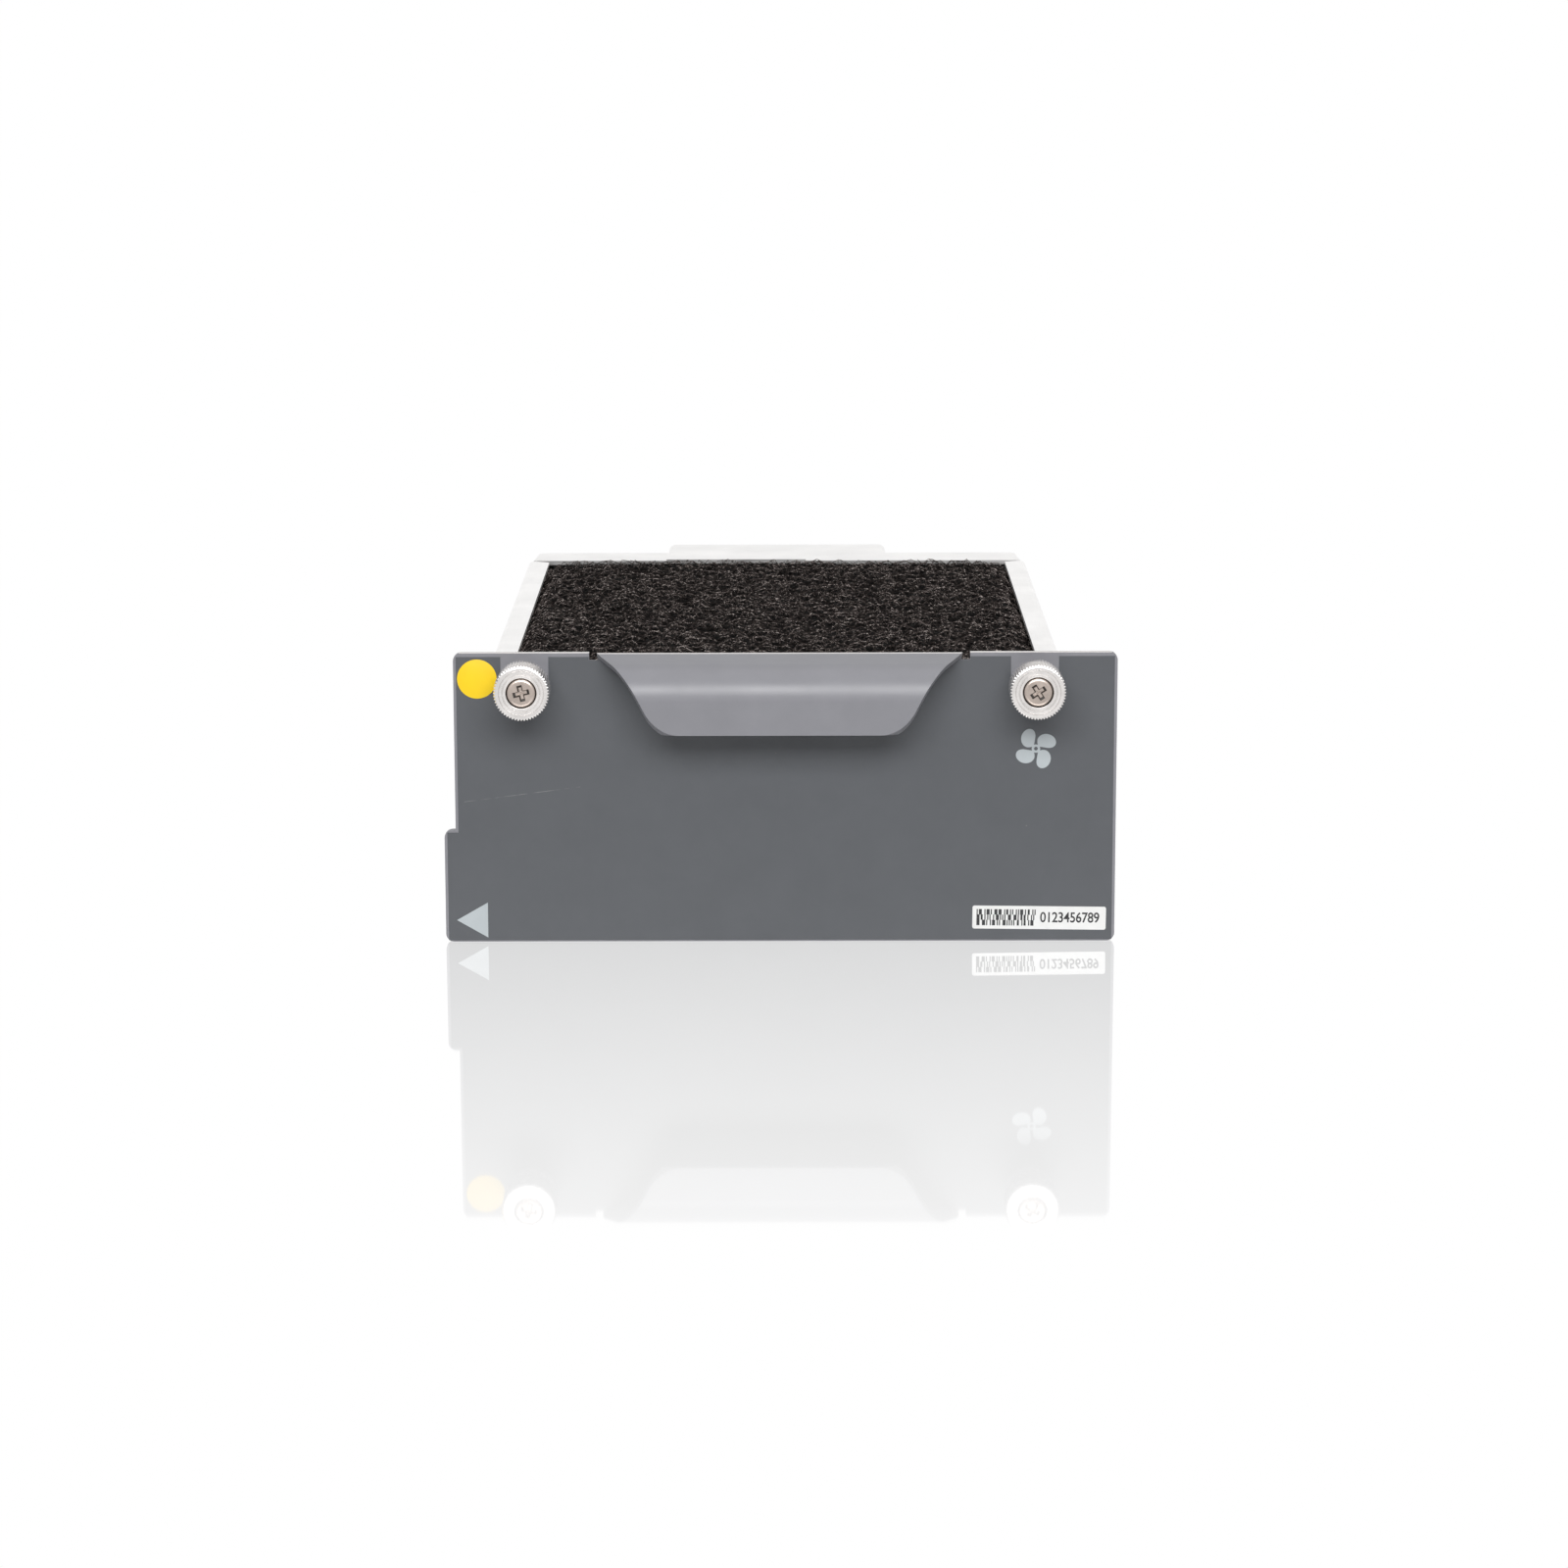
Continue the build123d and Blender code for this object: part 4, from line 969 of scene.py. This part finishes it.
class FANTRAY_OT_thumbscrews(bpy.types.Operator):
    """Knurled knobs, captive screws, springs and retainers"""

    bl_idname = "fan_tray.thumbscrews"
    bl_label = "Thumbscrews"

    def execute(self, context):
        colours, _ = settings()
        front = KNOB_LOW.y
        # Painted shade darkens the knob's hole, the gap round the screw's head and the screw's
        # cross.
        hole = (0.0, HEAD_R + 0.2 * MM, front + 0.3 * MM, front + 2.6 * MM)
        rim = (HEAD_R - 0.05 * MM, HEAD_R + 0.1 * MM, front + 0.5 * MM, front + 2.6 * MM)
        cross = (0.5 * MM, 2.3 * MM, front + 0.13 * MM, front + 0.66 * MM)
        middle, painted_shade = (SCREW_X, SCREW_Z), (rim, cross)
        knob = bright_metal("turned_knob", colours.knob, 0.22, 0.5 * MM, middle, [hole])
        nickel = bright_metal("nickel_screw", colours.nickel, 0.28, 0.35 * MM, middle, painted_shade)
        sleeve_nickel = bright_metal("nickel_sleeve", colours.nickel, 0.3)
        wire = bright_metal("spring_wire", colours.spring, 0.25)
        for side, sign in SIDES.items():
            x = sign * SCREW_X
            self.knob(side, x, knob)
            self.screw(side, x, nickel)
            self.spring(side, x, wire)
            coat(sleeve_nickel, f"{side}_screw_retainer")
        return {"FINISHED"}

    @staticmethod
    def knob(side, x, material):
        """Turned knob: knurled side, ringed face, hole for the screw's head and an open back."""
        teeth, tooth = 56, 0.5 * MM
        knob_r = KNOB_R + 0.3 * MM
        bore, hollow, floor = 1.6 * MM, 5.0 * MM, 3.0 * MM
        front, back = KNOB_LOW.y, KNOB_HIGH.y
        # Depths and radii in millimetres, from the bore out over the face to its edge.
        face = [
            (2.25, 1.6), (2.25, 3.63), (0.22, 3.63), (0.08, 3.76), (0.03, 4.0), (0.08, 4.3),
            (0.22, 4.4), (0.22, 4.54), (0.08, 4.62), (0.04, 5.2), (0.14, 5.28), (0.14, 5.36),
            (0.02, 5.44), (0.0, 6.02), (0.06, 6.14),
        ]
        rings = [(front + depth * MM, radius * MM) for depth, radius in face]
        rings += [
            (front + 0.16 * MM, knob_r), (back - 0.4 * MM, knob_r), (back, knob_r - 0.55 * MM),
            (back, hollow), (front + floor, hollow), (front + floor, bore), rings[0],
        ]
        piece = turned(f"{side}_knurled_knob", rings, (x, SCREW_Z), 2 * teeth)
        alone(piece)
        bpy.ops.object.mode_set(mode="EDIT")
        bpy.ops.mesh.select_mode(type="VERT")

        def valley(v):
            """Every second line of points on the knurled side."""
            out = Vector((v.co.x - x, v.co.z - SCREW_Z))
            if out.length < knob_r - 0.02 * MM:
                return False
            turn = round(Vector((1, 0)).angle_signed(out) / (pi / teeth))
            return turn % 2 == 1

        pick(piece, "verts", valley)
        share = (knob_r - tooth) / knob_r
        middle = (x, (front + back) / 2, SCREW_Z)
        bpy.ops.transform.resize(value=(share, 1, share), center_override=middle)
        bpy.ops.object.mode_set(mode="OBJECT")
        smooth(piece, 22)
        dress(piece, material, f"{side}_thumbscrew", "knob_metal", f"{side}_thumb_knob")

    @staticmethod
    def screw(side, x, material):
        """Captive screw: rounded head with a cross recess, plain shank and threaded end."""
        low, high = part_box(f"{side}_captive_screw")
        front, tip = low.y, high.y
        # Depths and radii in millimetres, over the head and down to the shank.
        head = [
            (0.1, 0.5), (0.1, 2.7), (0.15, 3.0), (0.27, 3.24), (0.46, 3.42), (0.75, 3.5),
            (2.2, 3.5), (2.2, 1.5),
        ]
        rings = [(front + depth * MM, radius * MM) for depth, radius in head]
        pitch, crests = 0.7 * MM, 9
        shank, root, thread = 1.5 * MM, 1.58 * MM, 2.0 * MM
        start = tip - (crests + 0.5) * pitch
        rings.append((start - 0.4 * pitch, shank))
        for crest in range(crests):
            there = start + crest * pitch
            rings += [
                (there, root), (there + 0.42 * pitch, thread), (there + 0.58 * pitch, thread),
            ]
        rings += [(tip - 0.5 * pitch, shank), (tip, 1.2 * MM), (tip, 0)]
        piece = turned(f"{side}_cross_screw", rings, (x, SCREW_Z), 48)
        capped(piece)
        for quarter in range(2):
            turn = quarter * pi / 2 - radians(CROSS_TURN[side])
            cut_by(piece, FANTRAY_OT_thumbscrews.cross_arm(Vector((x, front, SCREW_Z)), turn))
        smooth(piece, 25)
        dress(piece, material, f"{side}_thumbscrew", "screw_metal", f"{side}_captive_screw")

    @staticmethod
    def cross_arm(spot, turn):
        """A cutter for one arm of the cross: it narrows as it goes in and ends in a point."""
        fresh()
        bpy.ops.mesh.primitive_cube_add(size=1, location=spot + Vector((0, 0.35 * MM, 0)))
        arm = settled("arm", (4.2 * MM, 0.7 * MM, 1.35 * MM))
        bpy.ops.object.mode_set(mode="EDIT")
        bpy.ops.mesh.select_mode(type="FACE")
        pick(arm, "faces", lambda f: f.normal.y > 0.9)
        bpy.ops.transform.resize(value=(0.66, 1, 0.5), center_override=spot)
        bpy.ops.mesh.inset(thickness=0.2 * MM)
        bpy.ops.mesh.extrude_region_move(TRANSFORM_OT_translate={"value": (0, 0.3 * MM, 0)})
        bpy.ops.transform.resize(value=(0.3, 1, 0.5), center_override=spot)
        bpy.ops.object.mode_set(mode="OBJECT")
        spin = Matrix.Translation(spot) @ Matrix.Rotation(turn, 4, "Y")
        arm.data.transform(spin @ Matrix.Translation(-spot))
        return arm

    @staticmethod
    def spring(side, x, material):
        """Round wire coil behind the knob, with a mesh of its own; its shortening under the
        screw's travel is worked out but not applied.
        """
        low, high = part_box(f"{side}_screw_spring")
        wire, turns, steps = 0.32 * MM, 5, 28
        mean = (high.z - low.z) / 2 - wire
        length = high.y - low.y - 2 * wire
        fresh()
        bpy.ops.mesh.primitive_circle_add(vertices=10, radius=wire, location=(mean, 0, 0))
        piece = settled(f"{side}_round_spring")
        finished(
            piece, "SCREW", axis="Y", angle=2 * pi, screw_offset=length / turns,
            iterations=turns, steps=steps, render_steps=steps, use_merge_vertices=False,
        )
        piece.data.transform(Matrix.Translation((x, low.y + wire, SCREW_Z)))
        capped(piece)
        smooth(piece, 60)
        dress(piece, material, "tray", "spring_steel", f"{side}_screw_spring")
        travel = next(j for j in frame["joints"] if j["name"] == f"{side}_screw_travel")
        reach = travel["range_m"][1]
        keep = (high.y - low.y - reach) / (high.y - low.y)
        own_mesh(piece)


class FANTRAY_OT_sheet_metal(bpy.types.Operator):
    """Zinc-plated tray, housing, rails, grille and guards with their rivets"""

    bl_idname = "fan_tray.sheet_metal"
    bl_label = "Sheet metal"

    def execute(self, context):
        colours, _ = settings()
        zinc = zinc_sheet("zinc_tray", colours.zinc)
        cross = zinc_sheet("zinc_cross_rolled", [c * 0.97 for c in colours.zinc], pi / 2)
        coat(zinc, "tray_pan", "grille_rails", "filter_grille")
        coat(cross, "rear_housing", "front_finger_guard", "rear_finger_guard")
        rivet = bright_metal("rivet_metal", colours.knob, 0.3)
        nickel = bright_metal("plain_nickel", colours.nickel, 0.32)
        coat(rivet, "rail_rivets", "housing_rivets")
        coat(nickel, "faceplate_studs", "faceplate_nuts", "board_standoffs", "board_screws")
        coat(nickel, *[f"{fan}_fan_screws" for fan in FANS])
        return {"FINISHED"}


class FANTRAY_OT_foam(bpy.types.Operator):
    """Open-cell foam filter pad: a dark body under a net of fine struts"""

    bl_idname = "fan_tray.foam"
    bl_label = "Foam"

    def execute(self, context):
        colours, sizes = settings()
        pad = joined([self.body(sizes), self.net(sizes)])
        dress(pad, open_foam(colours), "tray", "filter_foam", "foam_filter")
        return {"FINISHED"}

    @staticmethod
    def crown(x):
        """Height of the pad's smooth top over this place across the tray."""
        out = (x - FOAM_MIDDLE) / FOAM_OPEN
        rise = FOAM_CROWN * (1 - out ** 24) if abs(out) < 1 else 0.0
        return FOAM_HIGH.z - FOAM_CROWN + rise

    @staticmethod
    def sheet(name, pitch_x, pitch_y, inset):
        """A flat grid over the pad, as a start for its body or its net."""
        span = FOAM_HIGH - FOAM_LOW
        middle = (FOAM_HIGH + FOAM_LOW) / 2
        wide, deep = span.x - 2 * inset, span.y - 2 * inset
        fresh()
        bpy.ops.mesh.primitive_grid_add(
            x_subdivisions=round(wide / pitch_x), y_subdivisions=round(deep / pitch_y),
            size=1, location=(middle.x, middle.y, 0),
        )
        return settled(name, (wide, deep, 1))

    def body(self, sizes):
        """The dark mass of the pad, with its pores sunk into the top and the edges."""
        pitch, inset = 0.95 * MM, 0.4 * MM
        pad = self.sheet("foam_pad", pitch, pitch, inset)
        alone(pad)
        bpy.ops.object.mode_set(mode="EDIT")
        bpy.ops.mesh.select_mode(type="EDGE")
        pick(pad, "edges", lambda e: e.is_boundary)
        depth = FOAM_HIGH.z - FOAM_CROWN - FOAM_LOW.z - sizes.strut_rise
        steps, band = 8, 0.5 * MM
        for _ in range(steps):
            move = (0, 0, -depth / steps)
            bpy.ops.mesh.extrude_region_move(TRANSFORM_OT_translate={"value": move})
        bpy.ops.mesh.edge_face_add()
        bpy.ops.object.mode_set(mode="OBJECT")
        shade = []
        for v in pad.data.vertices:
            near = noise.voronoi(v.co / sizes.pore_width)[0]
            hollow = min(1.0, (near[1] - near[0]) / 0.5)
            share = max(0.0, min(1.0, -v.co.z / depth))
            top = self.crown(v.co.x) - sizes.strut_rise - sizes.pore_depth * hollow
            v.co.z = top + share * (FOAM_LOW.z - top)
            for axis in (0, 1):
                inner, outer = FOAM_LOW[axis], FOAM_HIGH[axis]
                if min(v.co[axis] - inner, outer - v.co[axis]) < band:
                    way = 1 if v.co[axis] > (inner + outer) / 2 else -1
                    v.co[axis] -= way * band * hollow
            # Painted shade: the deeper a point lies in a pore, the darker its colour.
            shade.append(0.25 * (1 - hollow))
        pad.data.attributes.new("strut", "FLOAT", "POINT").data.foreach_set("value", shade)
        outward(pad)
        return pad

    def net(self, sizes):
        """Fine struts that stand up from the body at every angle."""
        across, along = sizes.strut_pitch, 1.4 * sizes.strut_pitch
        stray, sunk, inset = 0.8, 0.5 * MM, 1.2 * MM
        net = self.sheet("foam_net", across, along, inset)
        draw = random.Random(7)
        shade = []
        for v in net.data.vertices:
            lift = draw.random()
            v.co.x += draw.uniform(-stray, stray) * across
            v.co.y += draw.uniform(-stray, stray) * along
            covered = abs(v.co.x - FOAM_MIDDLE) > FOAM_OPEN
            low = self.crown(v.co.x) - sizes.strut_rise - sunk
            rise = 0.3 * sizes.strut_rise if covered else sizes.strut_rise + sunk
            v.co.z = low + lift * rise
            # Painted light: the higher a strut stands, the paler its colour.
            shade.append(0.15 + 0.85 * lift)
        net.data.attributes.new("strut", "FLOAT", "POINT").data.foreach_set("value", shade)
        finished(net, "WIREFRAME", thickness=sizes.strut_width, use_even_offset=False)
        return net


class FANTRAY_OT_fans(bpy.types.Operator):
    """Both fans: frames, impellers, motors and bearings"""

    bl_idname = "fan_tray.fans"
    bl_label = "Fans"

    def execute(self, context):
        colours, _ = settings()
        frame_black = plastic("fan_frame_plastic", colours.fan, 0.48)
        blade_black = plastic("impeller_plastic", [c * 1.25 for c in colours.fan], 0.36)
        ferrite = plastic("ferrite", (0.06, 0.06, 0.064), 0.5, 0.4 * MM)
        steel = bright_metal("bearing_steel", (0.72, 0.72, 0.73), 0.16)
        sheets = laminations((0.34, 0.34, 0.36))
        copper = winding((0.66, 0.24, 0.08))
        board = circuit_board("driver_board_green", (0.006, 0.075, 0.028))
        for fan in FANS:
            coat(frame_black, f"{fan}_fan_frame")
            coat(blade_black, f"{fan}_impeller")
            coat(ferrite, f"{fan}_rotor_magnet")
            coat(steel, f"{fan}_fan_shaft", f"{fan}_fan_bearings")
            coat(sheets, f"{fan}_fan_stator")
            coat(copper, f"{fan}_fan_coils")
            coat(board, f"{fan}_driver_board")
        return {"FINISHED"}


class FANTRAY_OT_electronics(bpy.types.Operator):
    """Control board, connector, sockets, plugs and leads"""

    bl_idname = "fan_tray.electronics"
    bl_label = "Electronics"

    def execute(self, context):
        coat(circuit_board("control_board_green", (0.006, 0.085, 0.03)), "control_board")
        shell = plastic("connector_black", (0.026, 0.026, 0.03), 0.3, coat_weight=0.3)
        coat(shell, "backplane_connector")
        coat(bright_metal("gold_contact", (0.86, 0.6, 0.22), 0.2), "connector_contacts")
        nylon = plastic("natural_nylon", (0.74, 0.71, 0.62), 0.5)
        coat(nylon, "fan_sockets", "lead_clips", *[f"{fan}_fan_plug" for fan in FANS])
        coat(sleeve((0.02, 0.02, 0.021)), *[f"{fan}_fan_lead" for fan in FANS])
        return {"FINISHED"}


class FANTRAY_PT_panel(bpy.types.Panel):
    """Steps and settings for the fan tray"""

    bl_idname = "FANTRAY_PT_panel"
    bl_label = "Fan Tray"
    bl_space_type = "VIEW_3D"
    bl_region_type = "UI"
    bl_category = "Fan Tray"

    def draw(self, context):
        for step in STEPS:
            self.layout.operator(step.bl_idname)
        for group in (context.scene.fan_tray_colours, context.scene.fan_tray_sizes):
            for name in group.__annotations__:
                self.layout.prop(group, name)


STEPS = (
    FANTRAY_OT_stage,
    FANTRAY_OT_faceplate,
    FANTRAY_OT_marks,
    FANTRAY_OT_thumbscrews,
    FANTRAY_OT_sheet_metal,
    FANTRAY_OT_foam,
    FANTRAY_OT_fans,
    FANTRAY_OT_electronics,
)
CLASSES = (FanTrayColours, FanTraySizes, *STEPS, FANTRAY_PT_panel)


def register():
    for cls in CLASSES:
        bpy.utils.register_class(cls)
    bpy.types.Scene.fan_tray_colours = bpy.props.PointerProperty(type=FanTrayColours)
    bpy.types.Scene.fan_tray_sizes = bpy.props.PointerProperty(type=FanTraySizes)


def unregister():
    del bpy.types.Scene.fan_tray_sizes
    del bpy.types.Scene.fan_tray_colours
    for cls in reversed(CLASSES):
        bpy.utils.unregister_class(cls)


def main():
    register()
    bpy.ops.fan_tray.stage()
    bpy.ops.fan_tray.faceplate()
    bpy.ops.fan_tray.marks()
    bpy.ops.fan_tray.thumbscrews()
    bpy.ops.fan_tray.sheet_metal()
    bpy.ops.fan_tray.foam()
    bpy.ops.fan_tray.fans()
    bpy.ops.fan_tray.electronics()


if __name__ == "__main__":
    main()
